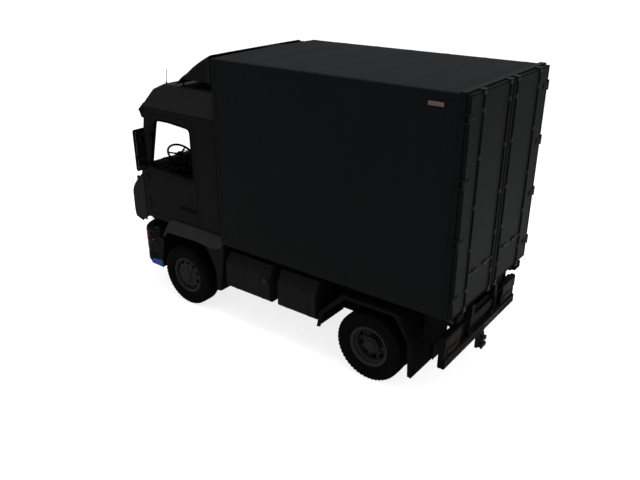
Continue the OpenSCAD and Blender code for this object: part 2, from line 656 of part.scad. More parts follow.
// ---- cab doors ----
window = [[hinge_y + 90, belt_z + 60], [hinge_y + 300, window_top - 10], [hinge_y + 640, window_top],
    [door_rear_y - 55, window_top - 45], [door_rear_y - 55, belt_z]];
module cab_door() {
    difference() {
        side_plate(cab_x - cab_wall, cab_x, door_outline);
        side_plate(cab_x - cab_wall - 1, cab_x + 1, window);
    }
    for (z = door_hinge_levels) {
        slab([cab_x - 1, door_hinge[1], z], [cab_x + 8, hinge_y + 70, z + door_knuckle]);
        hinge_barrel(z, z + door_knuckle);
    }
}
module left_cab_door() color("#232325") cab_door();
module right_cab_door() color("#232325") mirror([1, 0, 0]) cab_door();
module door_glass() side_plate(cab_x - 30, cab_x - 24, window);
module left_door_glass() color("#40484c", 0.4) door_glass();
module right_door_glass() color("#40484c", 0.4) mirror([1, 0, 0]) door_glass();
mirror_y = hinge_y + 85;
mirror_feet = [[2420, 50, 92], [2950, 172, 225]];   // each foot's height and its place behind the hinge
module door_mirror() {
    slab([cab_x + 60, mirror_y - 50, 2370], [cab_x + 290, mirror_y + 30, 3090]);
    for (foot = mirror_feet) {
        slab([cab_x + fit, hinge_y + foot[1], foot[0]], [cab_x + 20, hinge_y + foot[2], foot[0] + 35]);
        slab([cab_x + 8, mirror_y - 20, foot[0]], [cab_x + 70, hinge_y + foot[2], foot[0] + 35]);
    }
}
module left_mirror() color("#2a2a2c") door_mirror();
module right_mirror() color("#2a2a2c") mirror([1, 0, 0]) door_mirror();

frame_rails();
crossmembers();
box_subframe();
engine();
prop_shaft();
front_axle();
rear_axle();
leaf_springs();
side_tanks();
side_lockers();
rear_mudguards();
rear_underrun();
tail_lamps();
tow_coupling();
front_bumper();
front_mudguards();
box_floor();
box_front_wall();
box_left_wall();
box_right_wall();
box_roof();
box_rear_frame();
left_box_door();
right_box_door();
left_knuckle();
right_knuckle();
tie_rod();
left_front_tyre();
left_front_rim();
right_front_tyre();
right_front_rim();
left_rear_tyres();
left_rear_rims();
right_rear_tyres();
right_rear_rims();
cab_floor();
cab_rear_wall();
cab_front_panel();
cab_sides();
cab_roof();
windscreen();
sun_visor();
roof_deflector();
dashboard();
seats();
steering_wheel();
left_cab_door();
right_cab_door();
left_door_glass();
right_door_glass();
left_mirror();
right_mirror();
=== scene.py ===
"""The looks of a short-wheelbase box truck: paint, glass, rubber, trim and cab interior round its fixed frame."""
from math import cos, exp, pi, radians, sin

import bmesh
import bpy
import numpy as np
from mathutils import Matrix, Vector


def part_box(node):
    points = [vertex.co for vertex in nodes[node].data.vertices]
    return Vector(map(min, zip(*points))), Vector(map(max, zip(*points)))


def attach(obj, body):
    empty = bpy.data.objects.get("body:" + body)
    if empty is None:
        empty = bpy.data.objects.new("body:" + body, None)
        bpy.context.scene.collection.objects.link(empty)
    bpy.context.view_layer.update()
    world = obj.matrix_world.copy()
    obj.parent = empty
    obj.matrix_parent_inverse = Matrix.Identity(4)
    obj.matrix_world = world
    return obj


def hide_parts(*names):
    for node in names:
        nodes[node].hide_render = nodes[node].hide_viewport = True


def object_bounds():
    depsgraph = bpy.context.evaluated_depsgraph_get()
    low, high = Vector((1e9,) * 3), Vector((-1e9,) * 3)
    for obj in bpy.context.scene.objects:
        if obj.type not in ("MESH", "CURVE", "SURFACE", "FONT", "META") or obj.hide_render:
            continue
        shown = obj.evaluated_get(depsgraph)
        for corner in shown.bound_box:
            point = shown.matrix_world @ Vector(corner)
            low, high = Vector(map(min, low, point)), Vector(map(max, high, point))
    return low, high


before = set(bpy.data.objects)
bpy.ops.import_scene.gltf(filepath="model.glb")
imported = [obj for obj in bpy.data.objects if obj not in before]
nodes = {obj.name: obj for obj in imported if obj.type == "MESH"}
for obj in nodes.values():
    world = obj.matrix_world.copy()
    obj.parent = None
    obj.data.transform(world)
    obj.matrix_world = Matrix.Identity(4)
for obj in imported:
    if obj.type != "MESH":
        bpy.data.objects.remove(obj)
cad_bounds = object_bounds()
scene = bpy.context.scene

# ---- Viewpoint ----
# A camera above head height, looking down on the rear left corner.
camera_data = bpy.data.cameras.new("camera")
camera = bpy.data.objects.new("camera", camera_data)
scene.collection.objects.link(camera)
azimuth, elevation = radians(126.9), radians(24.1)
backward = Vector((sin(azimuth) * cos(elevation), -cos(azimuth) * cos(elevation), sin(elevation)))
camera.location = (8.275, 6.382, 5.965)
camera.rotation_euler = (-backward).to_track_quat("-Z", "Y").to_euler()
camera_data.lens = 37.96
camera_data.clip_end = 200
scene.camera = camera
scene.view_settings.view_transform = "Standard"


# ---- Floor and studio light ----
# A pale seamless floor and a white surround, with large soft lamps over the roof and behind the truck.
class Wire:
    """One output of a shader node. Arithmetic on it adds Math nodes to the same tree."""

    def __init__(self, tree, socket=None):
        self.tree = tree
        self.socket = socket

    def node(self, kind, settings=None, sockets=None, out=0):
        """Adds a node: its settings first, then the values or links of its sockets."""
        made = self.tree.nodes.new(kind)
        for name, value in (settings or {}).items():
            if name == "stops":
                ramp = made.color_ramp.elements
                while len(ramp) < len(value):
                    ramp.new(0.5)
                for stop, (place, level) in zip(ramp, value):
                    stop.position = place
                    stop.color = (level, level, level, 1)
            else:
                setattr(made, name, value)
        for name, value in (sockets or {}).items():
            if isinstance(value, Wire):
                self.tree.links.new(value.socket, made.inputs[name])
            else:
                made.inputs[name].default_value = value
        return Wire(self.tree, made.outputs[out])

    def math(self, operation, first, second=0.0):
        return self.node("ShaderNodeMath", {"operation": operation}, {0: first, 1: second})

    def __add__(self, other):
        return self.math("ADD", self, other)

    __radd__ = __add__

    def __sub__(self, other):
        return self.math("SUBTRACT", self, other)

    def __rsub__(self, other):
        return self.math("SUBTRACT", other, self)

    def __mul__(self, other):
        return self.math("MULTIPLY", self, other)

    __rmul__ = __mul__

    def __truediv__(self, other):
        return self.math("DIVIDE", self, other)

    def clamped(self):
        return self.node("ShaderNodeClamp", {}, {0: self})

    def ramp(self, *stops):
        """Maps the value through grey stops of (place, level)."""
        return self.node("ShaderNodeValToRGB", {"stops": stops}, {0: self})

    def mix(self, low, high):
        """Goes from one colour to another as this value goes from 0 to 1."""
        ends = [value if isinstance(value, Wire) else (*value, 1) for value in (low, high)]
        return self.node("ShaderNodeMix", {"data_type": "RGBA"}, {0: self, 6: ends[0], 7: ends[1]}, out=2)

    def stretched(self, x, y, z):
        """The same points with each axis scaled."""
        return self.node("ShaderNodeVectorMath", {"operation": "MULTIPLY"}, {0: self, 1: (x, y, z)})

    def noise(self, scale, detail=3.0, rough=0.55):
        return self.node("ShaderNodeTexNoise", {},
                {"Vector": self, "Scale": scale, "Detail": detail, "Roughness": rough})

    def axis(self, name):
        return self.node("ShaderNodeSeparateXYZ", {}, {0: self}, out=name)


def lit_for_rays(tree, seen, other):
    """A background strength that is `seen` in view and through glass, and `other` as light and in gloss."""
    rays = Wire(tree).node("ShaderNodeLightPath")
    paths = rays.socket.node.outputs
    in_view = Wire(tree, paths["Is Camera Ray"]) + Wire(tree, paths["Is Transmission Ray"])
    return in_view.clamped() * (seen - other) + other


world = bpy.data.worlds.new("studio")
world.use_nodes = True
scene.world = world
surround = world.node_tree.nodes["Background"]
surround.inputs["Color"].default_value = (1, 1, 1, 1)
world.node_tree.links.new(lit_for_rays(world.node_tree, 1.0, 0.32).socket, surround.inputs["Strength"])

bpy.ops.mesh.primitive_plane_add(size=160, location=(0, 0, 0))
floor = bpy.context.object
floor.name = "studio_floor"
floor_material = bpy.data.materials.new("studio_floor")
floor_material.use_nodes = True
floor_shader = floor_material.node_tree.nodes["Principled BSDF"]
floor_shader.inputs["Base Color"].default_value = (0.93, 0.93, 0.93, 1)
floor_shader.inputs["Roughness"].default_value = 0.9
floor_shader.inputs["Specular IOR Level"].default_value = 0.0
floor_shader.inputs["Emission Color"].default_value = (1, 1, 1, 1)
floor_glow = lit_for_rays(floor_material.node_tree, 0.8, 0.0)
floor_material.node_tree.links.new(floor_glow.socket, floor_shader.inputs["Emission Strength"])
floor.data.materials.append(floor_material)


def soft_lamp(name, place, aim, size, watts):
    """A square area lamp at a place, turned towards a point."""
    data = bpy.data.lights.new(name, "AREA")
    data.size = size
    data.energy = watts
    lamp = bpy.data.objects.new(name, data)
    lamp.location = place
    lamp.rotation_euler = (Vector(aim) - Vector(place)).to_track_quat("-Z", "Y").to_euler()
    scene.collection.objects.link(lamp)


soft_lamp("roof_lamp", (0, 1, 12), (0, 0, 2), 9, 560)
soft_lamp("rear_lamp", (-3, 13, 6), (0, 2, 2), 6, 270)


# ---- Load box: painted panels ----
# Flat faced panels held in folded edge rails, sprayed one charcoal enamel. The roof copy is bluer and a little lighter,
# painted light from above, and the rear copy is darker, painted shade on the rear frame and doors. Dust settles low
# down, rain leaves faint streaks, and the sheet has a slight orange peel.
def new_material(name, **constants):
    """A Principled material. Returns it, its shader's sockets and the surface point in metres."""
    material = bpy.data.materials.new(name)
    material.use_nodes = True
    shader = material.node_tree.nodes["Principled BSDF"]
    for socket, value in constants.items():
        shader.inputs[socket.replace("_", " ")].default_value = value
    start = Wire(material.node_tree)
    point = start.node("ShaderNodeTexCoord", out="Object")
    return material, shader.inputs, point


def feed(socket, wire):
    wire.tree.links.new(wire.socket, socket)


def bump(height, strength, depth):
    """A normal from a height field, for the Normal socket."""
    return height.node("ShaderNodeBump", {}, {"Height": height, "Strength": strength, "Distance": depth})


def shade(colour, factor):
    return tuple(channel * factor for channel in colour)


dust_colour = (0.03, 0.028, 0.025)


def enamel(name, colour, gloss=0.42, dust=0.35, dust_top=1.9, peel=0.05):
    """Sprayed enamel: cloudy colour, rain streaks, dust that thins out up to dust_top metres."""
    material, socket, point = new_material(name, Specular_IOR_Level=0.04)
    cloud = point.noise(0.9, 4)
    streak = point.stretched(7, 7, 0.35).noise(1.6, 5, 0.65).ramp((0.42, 0), (0.75, 1))
    speckle = point.noise(38, 3, 0.7).ramp((0.45, 0), (0.8, 1))
    low_down = (1 - point.axis("Z") / dust_top).clamped()
    dusty = (low_down * (0.35 + streak * 0.5 + speckle * 0.5) * dust).clamped()
    body = cloud.mix(shade(colour, 0.86), shade(colour, 1.14))
    worn = (streak * 0.3).mix(body, shade(colour, 1.45))
    feed(socket["Base Color"], dusty.mix(worn, dust_colour))
    feed(socket["Roughness"], gloss + cloud * 0.1 + dusty * 0.5 + speckle * 0.05)
    feed(socket["Normal"], bump(point.noise(160, 2) + cloud * 1.5, peel, 0.002))
    return material


box_side_paint = enamel("box_side_enamel", (0.009, 0.0099, 0.0106))
# The rear copy is a darker side enamel: painted shade on the rear frame and doors.
box_rear_shaded_paint = enamel("box_rear_shaded_enamel", (0.008, 0.0087, 0.0094), gloss=0.38)
# The roof copy is a bluer, slightly lighter side enamel: painted light from above.
box_roof_lit_paint = enamel("box_roof_lit_enamel", (0.0085, 0.0104, 0.0128), gloss=0.5, dust=0.1, dust_top=9)


def soften(piece, edge, segments):
    """Puts a small radius on a piece's arrises, where edge is set."""
    if edge:
        bevel = piece.modifiers.new("arris", "BEVEL")
        bevel.width = edge
        bevel.segments = segments
        bevel.limit_method = "ANGLE"
        bevel.angle_limit = radians(35)
        bevel.harden_normals = True


def dress(node, material, edge=0.0, segments=2):
    """Gives a frame node its finish and its softened arrises."""
    part = nodes[node]
    part.data.materials.clear()
    part.data.materials.append(material)
    soften(part, edge, segments)


for node in ("box_left_wall", "box_right_wall", "box_front_wall"):
    dress(node, box_side_paint, 0.004)
dress("box_rear_frame", box_rear_shaded_paint, 0.006)


# ---- Load box: rails, rivets and roof ----
# Folded rails cap the four long edges and the front corners, each fixed by a row of domed rivets. The
# roof sheet lies over shallow cross bows and rolls down into the top rails.
def add_block(bm, low, high):
    """A rectangular block between two opposite corners, given in either order."""
    corner = [bm.verts.new((x, y, z)) for x in sorted((low[0], high[0])) for y in (low[1], high[1])
        for z in (low[2], high[2])]
    for face in ((0, 1, 3, 2), (4, 6, 7, 5), (0, 4, 5, 1), (2, 3, 7, 6), (0, 2, 6, 4), (1, 5, 7, 3)):
        bm.faces.new([corner[i] for i in face])


def add_side_block(bm, side, low, high):
    """The same block on either side of the truck."""
    add_block(bm, (side * low[0], *low[1:]), (side * high[0], *high[1:]))


def add_ring_skin(bm, rings, closed=True, capped=True):
    """Skins a row of equal rings of points; each ring is closed unless told otherwise."""
    made = [[bm.verts.new(point) for point in ring] for ring in rings]
    count = len(made[0])
    for first, second in zip(made, made[1:]):
        for i in range(count if closed else count - 1):
            j = (i + 1) % count
            bm.faces.new((first[i], first[j], second[j], second[i]))
    if capped and closed:
        bm.faces.new(reversed(made[0]))
        bm.faces.new(made[-1])
    return made


def add_prism(bm, outline, start, end, across="x"):
    """A closed outline drawn in the plane across an axis and run from start to end along it."""
    def place(a, b, along):
        return {"x": (along, a, b), "y": (a, along, b), "z": (a, b, along)}[across]
    add_ring_skin(bm, [[place(a, b, along) for a, b in outline] for along in sorted((start, end))])


def frame_along(direction):
    """Two unit vectors square to a direction."""
    side = direction.cross(Vector((0, 0, 1)))
    if side.length < 1e-4:
        side = Vector((1, 0, 0))
    side.normalize()
    return side, direction.cross(side).normalized()


def moved(y, outline, z=0):
    """An outline's points, each moved by y and z."""
    return [(y + a, z + b) for a, b in outline]


def ring_round(centre, radius, side, other, sides):
    """Points round a centre, in the plane of two unit vectors."""
    return [centre + radius * (cos(turn) * side + sin(turn) * other)
            for turn in (2 * pi * k / sides for k in range(sides))]


def add_tube(bm, path, radius, sides=10):
    """A round tube along a path of points, with flat ends."""
    path = [Vector(point) for point in path]
    rings = []
    side = None
    for i, point in enumerate(path):
        direction = (path[min(i + 1, len(path) - 1)] - path[max(i - 1, 0)]).normalized()
        if side is None:
            side = frame_along(direction)[0]
        side = (side - direction * side.dot(direction)).normalized()
        rings.append(ring_round(point, radius, side, direction.cross(side), sides))
    add_ring_skin(bm, rings)


def add_turned(bm, profile, centre, axis="x", steps=48, looped=False):
    """Turns a profile of (radius, along) about an axis through a centre."""
    centre = Vector(centre)
    rings = []
    for radius, along in profile:
        ring = []
        for k in range(steps):
            turn = 2 * pi * k / steps
            a, b = radius * cos(turn), radius * sin(turn)
            ring.append(centre + Vector({"x": (along, a, b), "y": (a, along, b), "z": (a, b, along)}[axis]))
        rings.append(ring)
    if looped:
        rings.append(rings[0])
        made = add_ring_skin(bm, rings, capped=False)
        bmesh.ops.remove_doubles(bm, verts=made[0] + made[-1], dist=1e-6)
    else:
        add_ring_skin(bm, rings)


def add_dome(bm, place, outward, radius, height, sides=8):
    """A low round head, such as a rivet's."""
    outward = Vector(outward)
    side, other = frame_along(outward)
    add_ring_skin(bm, [ring_round(Vector(place) + outward * height * rise, radius * reach, side, other, sides)
        for reach, rise in ((1.0, 0.0), (0.92, 0.55), (0.5, 0.95))])


def add_bolt(bm, place, outward, size, height):
    """A washer and a hexagon head."""
    outward = Vector(outward)
    side, other = frame_along(outward)
    for radius, base, top, sides in ((size * 0.75, 0, height * 0.2, 12), (size * 0.55, height * 0.2, height, 6)):
        add_ring_skin(bm, [ring_round(Vector(place) + outward * level, radius, side, other, sides)
            for level in (base, top)])


def make_object(bm, name):
    """Turns a mesh under construction into an object of the scene."""
    bmesh.ops.recalc_face_normals(bm, faces=bm.faces)
    mesh = bpy.data.meshes.new(name)
    bm.to_mesh(mesh)
    bm.free()
    made = bpy.data.objects.new(name, mesh)
    scene.collection.objects.link(made)
    return made


def finish_piece(bm, name, material, edge=0.0, body="chassis", smooth=38, stands_for=(), segments=2):
    """Turns a mesh under construction into a piece that rides on a body."""
    piece = make_object(bm, name)
    piece.data.shade_smooth()
    piece.data.set_sharp_from_angle(angle=radians(smooth))
    piece.data.materials.append(material)
    soften(piece, edge, segments)
    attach(piece, body)
    if stands_for:
        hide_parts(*stands_for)
    return piece


wall_low, wall_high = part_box("box_left_wall")
front_low, front_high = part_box("box_front_wall")
rear_low, rear_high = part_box("box_rear_frame")
side_x = wall_high.x
box_front = front_low.y
box_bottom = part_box("box_floor")[0].z
box_top = rear_high.z
rail_proud = 0.004
rail_depth = 0.095
bm = bmesh.new()
for side in (-1, 1):
    skin = side * side_x
    proud = side * (side_x + rail_proud)
    inner, outer = skin - side * 0.002, proud
    add_block(bm, (inner, box_front - 0.004, box_top - rail_depth), (outer, rear_low.y, box_top - 0.022))
    add_block(bm, (inner, box_front - 0.004, box_bottom + 0.004), (outer, rear_low.y, box_bottom + 0.13))
    add_block(bm, (inner, box_front - 0.004, box_bottom + 0.13), (outer, box_front + 0.075, box_top - rail_depth))
    add_block(bm, (inner, rear_low.y - 0.055, box_bottom + 0.13), (outer, rear_low.y, box_top - rail_depth))
finish_piece(bm, "box_edge_rails", box_side_paint, 0.0018)

rivet_pitch = 0.115
bm = bmesh.new()
for side in (-1, 1):
    skin = side * (side_x + rail_proud)
    outward = (side, 0, 0)
    count = int((rear_low.y - box_front - 0.1) / rivet_pitch)
    for k in range(count + 1):
        y = box_front + 0.05 + k * (rear_low.y - box_front - 0.1) / count
        for z in (box_top - rail_depth + 0.018, box_top - 0.042, box_bottom + 0.022, box_bottom + 0.11):
            add_dome(bm, (skin, y, z), outward, 0.007, 0.003, 6)
    rows = int((box_top - box_bottom - 0.3) / rivet_pitch)
    for k in range(1, rows):
        z = box_bottom + 0.15 + k * (box_top - box_bottom - 0.3) / rows
        for y in (box_front + 0.052, rear_low.y - 0.03):
            add_dome(bm, (skin, y, z), outward, 0.007, 0.003, 6)
finish_piece(bm, "box_rivets", box_side_paint)

# Roof: half an outline from the eaves to the middle, mirrored, then repeated along the box
roll = 0.034
eaves = [(side_x - roll + roll * cos(turn), -roll + roll * sin(turn)) for turn in (radians(10 * k) for k in range(10))]
crown = 0.012
roof_half = [(x, z - crown + crown * (1 - (x / side_x) ** 2))
    for x, z in [(side_x, -0.04)] + eaves + [(side_x * step / 8, 0) for step in range(7, 0, -1)]]
outline = roof_half + [(0, 0)] + [(-x, z) for x, z in reversed(roof_half)]
bow_pitch = 0.62
bm = bmesh.new()
rings = []
along = box_front
while along < rear_low.y - 0.001:
    for offset, lift in ((0, 0), (0.035, 0.0022), (0.075, 0.0022), (0.11, 0)):
        if along + offset < rear_low.y - 0.02:
            rings.append([(x, along + offset, box_top - 0.0025 + z + (lift if z > -0.02 else 0)) for x, z in outline]
                + [(-side_x + 0.04, along + offset, box_top - 0.042),
                (side_x - 0.04, along + offset, box_top - 0.042)])
    along += bow_pitch
rings.append([(x, rear_low.y + 0.001, z) for x, _, z in rings[0]])
add_ring_skin(bm, rings)
finish_piece(bm, "roof_sheet", box_roof_lit_paint, stands_for=("box_roof",))


# ---- Tyres ----
# Radial truck tyres: four grooves round the tread, cross cuts in the shoulder blocks, raised rings on the
# sidewalls. Moulded in black rubber, greyer where the road scuffs the tread.
tread_low, tread_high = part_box("left_front_tyre")
tyre_radius = (tread_high.z - tread_low.z) / 2
tyre_half = (tread_high.x - tread_low.x) / 2
axle_z = (tread_high.z + tread_low.z) / 2
flange_r = (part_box("left_front_rim")[1].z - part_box("left_front_rim")[0].z) / 2
rim_half = tyre_half - 0.025


def rubber(name):
    material, socket, point = new_material(name, Specular_IOR_Level=0.05)
    grain = point.noise(22, 4, 0.6)
    scuff = point.noise(6, 3).ramp((0.45, 0), (0.7, 1))
    dusty = (scuff * 0.5 + grain * 0.3) * 0.35
    feed(socket["Base Color"], dusty.mix((0.0022, 0.0022, 0.0023), (0.0085, 0.008, 0.0075)))
    feed(socket["Roughness"], 0.62 + grain * 0.22)
    feed(socket["Normal"], bump(point.noise(260, 2), 0.15, 0.001))
    return material


tyre_rubber = rubber("tyre_rubber")
pitches = 52
tread_cuts = (0.0, 0.42, 0.5, 0.92)      # where a shoulder block starts and ends, as shares of a pitch


def tyre_half_profile():
    """Points from the middle of the tread to the bead: (across, radius, how deep the cross cut is there)."""
    top = tyre_radius
    groove = 0.013
    return [(0.016, top, 0), (0.0175, top - groove, 0), (0.0265, top - groove, 0), (0.028, top, 0),
            (0.064, top - 0.001, 0), (0.0655, top - groove, 0), (0.0755, top - groove, 0), (0.077, top - 0.001, 0.01),
            (0.112, top - 0.004, 0.01), (0.122, top - 0.009, 0.01), (0.131, top - 0.022, 0.008),
            (0.1365, top - 0.04, 0.003), (0.1395, top - 0.056, 0), (0.1425, top - 0.06, 0), (0.145, top - 0.085, 0),
            (0.1475, top - 0.09, 0), (0.1475, top - 0.094, 0), (0.1455, top - 0.098, 0), (0.1462, top - 0.125, 0),
            (0.144, top - 0.16, 0), (0.1415, top - 0.164, 0), (0.1415, top - 0.17, 0), (0.137, top - 0.195, 0),
            (0.129, flange_r + 0.012, 0), (0.1235, flange_r + 0.002, 0), (rim_half - 0.01, flange_r + 0.0005, 0),
            (rim_half - 0.016, flange_r - 0.024, 0)]


def add_tyre(bm, x, y):
    half = tyre_half_profile()
    profile = [(-across, radius, cut) for across, radius, cut in reversed(half)] + half
    rings = []
    for pitch in range(pitches):
        for share, cut_here in zip(tread_cuts, (0, 0, 1, 1)):
            turn = 2 * pi * (pitch + share) / pitches
            ring = []
            for across, radius, cut in profile:
                reach = radius - cut * cut_here
                shift = 0.06 * across          # the cross cuts lean a little
                ring.append((x + across, y + reach * cos(turn + shift), axle_z + reach * sin(turn + shift)))
            rings.append(ring)
    rings.append(rings[0])
    made = add_ring_skin(bm, rings, closed=True, capped=False)
    bmesh.ops.remove_doubles(bm, verts=made[0] + made[-1], dist=1e-6)


def middle(node):
    low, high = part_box(node)
    return (low + high) / 2


front_y = middle("left_front_tyre").y
rear_y = middle("left_rear_tyres").y
front_wheel_x = middle("left_front_tyre").x
rear_outer_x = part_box("left_rear_tyres")[1].x - tyre_half
rear_inner_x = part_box("left_rear_tyres")[0].x + tyre_half
for side, word in ((1, "left"), (-1, "right")):
    bm = bmesh.new()
    add_tyre(bm, side * front_wheel_x, front_y)
    finish_piece(bm, word + "_front_tread", tyre_rubber, smooth=28, stands_for=(word + "_front_tyre",),
        body=word + "_front_wheel")
    bm = bmesh.new()
    for x in (rear_outer_x, rear_inner_x):
        add_tyre(bm, side * x, rear_y)
    finish_piece(bm, word + "_rear_treads", tyre_rubber, smooth=28, stands_for=(word + "_rear_tyres",),
        body=word + "_rear_wheels")


# ---- Wheel discs, hubs and brake drums ----
# Pressed steel wheels painted dark grey: a rolled rim, a disc with hand holes, ten nuts on a ring and a
# hub cap. The front disc bulges out past the rim; the outer rear disc is set deep, against its twin.
def wheel_paint(name, colour, dust=0.5):
    material, socket, point = new_material(name, Specular_IOR_Level=0.08)
    grime = point.noise(14, 5, 0.65).ramp((0.35, 0), (0.75, 1))
    chip = point.noise(70, 2).ramp((0.68, 0), (0.72, 1))
    dirty = (grime * dust).mix(colour, (0.02, 0.018, 0.016))
    feed(socket["Base Color"], (chip * 0.5).mix(dirty, (0.055, 0.034, 0.024)))
    feed(socket["Roughness"], 0.38 + grime * 0.35)
    feed(socket["Normal"], bump(grime + chip * -0.6, 0.25, 0.0015))
    return material


rim_finish = wheel_paint("rim_enamel", (0.036, 0.036, 0.042))
hub_finish = wheel_paint("hub_casting", (0.026, 0.026, 0.029), 0.35)
nut_finish = wheel_paint("wheel_nut_zinc", (0.06, 0.06, 0.064), 0.6)
seat_r = flange_r - 0.026
hand_holes = 10
hole_steps = 8


def turn_on_axle(bm, x, y, side, profile, steps=56, closed=False):
    """Turns a profile of (radius, outwards) about one wheel's axle."""
    add_turned(bm, [(radius, side * along) for radius, along in profile], (side * x, y, axle_z), steps=steps,
        looped=closed)


def add_rim(bm, x, y, side):
    """The rolled rim: a hook at each flange, bead seats and a well between them."""
    inner = seat_r - 0.012
    profile = [(flange_r, rim_half), (flange_r + 0.001, rim_half - 0.006), (flange_r - 0.004, rim_half - 0.009),
        (seat_r + 0.006, rim_half - 0.011), (seat_r, rim_half - 0.016), (seat_r - 0.004, 0.045),
        (seat_r - 0.03, 0.03), (seat_r - 0.03, -0.03), (seat_r - 0.004, -0.045), (seat_r, -rim_half + 0.016),
        (seat_r + 0.006, -rim_half + 0.011), (flange_r - 0.004, -rim_half + 0.009), (flange_r, -rim_half + 0.001),
        (flange_r - 0.012, -rim_half), (inner, -rim_half + 0.014), (inner - 0.006, -0.05), (inner - 0.03, -0.034),
        (inner - 0.03, 0.034), (inner - 0.006, 0.05), (inner, rim_half - 0.014), (flange_r - 0.012, rim_half)]
    turn_on_axle(bm, x, y, side, profile, 80, True)


def add_disc(bm, x, y, side, depths):
    """A disc of rings at six depths, with hand holes between its second and third rings."""
    levels = list(zip((seat_r - 0.016, 0.25, 0.212, 0.196, 0.188, 0.12), depths))
    steps = hand_holes * hole_steps
    for thick in (0, 1):
        rings = []
        for radius, along in levels:
            depth = side * (along - 0.01 * thick)
            rings.append([
                bm.verts.new((side * x + depth, y + radius * cos(2 * pi * k / steps),
                axle_z + radius * sin(2 * pi * k / steps))) for k in range(steps)])
        for ring, (first, second) in enumerate(zip(rings, rings[1:])):
            for k in range(steps):
                open_here = ring == 1 and k % hole_steps in (2, 3, 4, 5)
                if not open_here:
                    j = (k + 1) % steps
                    bm.faces.new((first[k], first[j], second[j], second[k]))
        if thick:
            walls = {}
            for edge in [edge for edge in bm.edges if edge.is_boundary]:
                middle_point = (edge.verts[0].co + edge.verts[1].co) / 2
                key = (round(middle_point.y, 4), round(middle_point.z, 4))
                walls.setdefault(key, []).append(edge)
            for pair in walls.values():
                if len(pair) == 2 and pair[0] is not pair[1]:
                    bridge(bm, *pair)


def bridge(bm, first, second):
    """Joins two facing edges with one face."""
    a, b = first.verts
    c, d = sorted(second.verts, key=lambda vert: (vert.co.yz - b.co.yz).length)
    bm.faces.new((a, b, c, d))


nut_ring = 0.1675


def add_nuts(bm, x, y, side, along, count=10, ring=nut_ring, size=0.036, height=0.026):
    for k in range(count):
        turn = 2 * pi * (k + 0.5) / count
        add_bolt(bm, (side * (x + along), y + ring * cos(turn), axle_z + ring * sin(turn)), (side, 0, 0), size, height)


def add_drum(bm, x, y, side, start, end):
    """A cast brake drum with cooling ribs, open towards the middle of the truck."""
    profile = [(0.185, start), (0.234, start), (0.234, start + 0.004), (0.207, start + 0.006), (0.207, start + 0.02),
        (0.2, start + 0.024)]
    reach = start + 0.05
    while reach < end - 0.02:
        profile += [(0.2, reach), (0.205, reach + 0.004), (0.205, reach + 0.01), (0.2, reach + 0.014)]
        reach += 0.03
    profile += [(0.196, end - 0.006), (0.185, end), (0.042, end), (0.042, end - 0.014), (0.178, end - 0.016)]
    turn_on_axle(bm, x, y, side, profile, closed=True)


for side, word in ((1, "left"), (-1, "right")):
    body = word + "_front_wheel"
    front = (front_wheel_x, front_y, side)
    bm = bmesh.new()
    add_rim(bm, *front)
    add_disc(bm, *front, (0.058, 0.076, 0.098, 0.104, 0.106, 0.106))
    finish_piece(bm, word + "_front_disc", rim_finish, smooth=40, stands_for=(word + "_front_rim",),
        body=body)
    bm = bmesh.new()
    turn_on_axle(bm, *front, [(0.128, 0.1), (0.128, 0.112), (0.112, 0.116), (0.104, 0.122), (0.1, 0.14),
        (0.094, 0.146), (0.07, 0.1465), (0.066, 0.1475), (0.001, 0.1475)])
    add_drum(bm, *front, -0.058, 0.094)
    finish_piece(bm, word + "_front_hub", hub_finish, smooth=35, body=body)
    bm = bmesh.new()
    add_nuts(bm, *front, 0.106)
    finish_piece(bm, word + "_front_nuts", nut_finish, body=body)

    body = word + "_rear_wheels"
    outer, inner = (rear_outer_x, rear_y, side), (rear_inner_x, rear_y, side)
    bm = bmesh.new()
    for place in (outer, inner):
        add_rim(bm, *place)
    dish = -rim_half + 0.066
    add_disc(bm, *outer, (dish + 0.046, dish + 0.028, dish + 0.006, dish, dish - 0.002, dish - 0.002))
    add_disc(bm, *inner, (rim_half - 0.058, rim_half - 0.04, rim_half - 0.018, rim_half - 0.01, rim_half - 0.006,
        rim_half - 0.006))
    finish_piece(bm, word + "_rear_discs", rim_finish, smooth=40, stands_for=(word + "_rear_rims",),
        body=body)
    bm = bmesh.new()
    turn_on_axle(bm, *outer, [(0.122, dish - 0.3), (0.122, dish + 0.004), (0.116, dish + 0.016), (0.112, dish + 0.09),
        (0.124, dish + 0.094), (0.124, dish + 0.112), (0.092, dish + 0.118), (0.08, dish + 0.14),
        (0.03, dish + 0.146), (0.001, dish + 0.146)])
    add_drum(bm, *inner, -0.098, rim_half - 0.024)
    finish_piece(bm, word + "_rear_hub", hub_finish, smooth=35, body=body)
    bm = bmesh.new()
    add_nuts(bm, *outer, dish)
    add_nuts(bm, *outer, dish + 0.112, 12, 0.108, 0.018, 0.01)
    finish_piece(bm, word + "_rear_nuts", nut_finish, body=body)

# ---- Load box: lining, lashing rails and floor ----
# Pale glass-fibre liners cover the inside of each wall, with two rows of slotted steel rail for straps.
# The floor is phenolic-faced plywood laid in planks along the box.
def plastic(name, colour, rough=0.5, grain=0.25, level=0.04, dust=0.0):
    """Moulded plastic with a fine grain, faded a little in patches and dusty where it is told to be."""
    material, socket, point = new_material(name, Specular_IOR_Level=level)
    fade = point.noise(5, 4).ramp((0.35, 0), (0.75, 1))
    pores = point.noise(420, 2, 0.6)
    body = fade.mix(colour, shade(colour, 1.3))
    settled = point.noise(11, 5, 0.65).ramp((0.4, 0), (0.8, 1)) * dust
    feed(socket["Base Color"], settled.mix(body, dust_colour))
    feed(socket["Roughness"], rough + fade * 0.12 + pores * 0.08 + settled * 0.3)
    feed(socket["Normal"], bump(pores, grain, 0.0008))
    return material


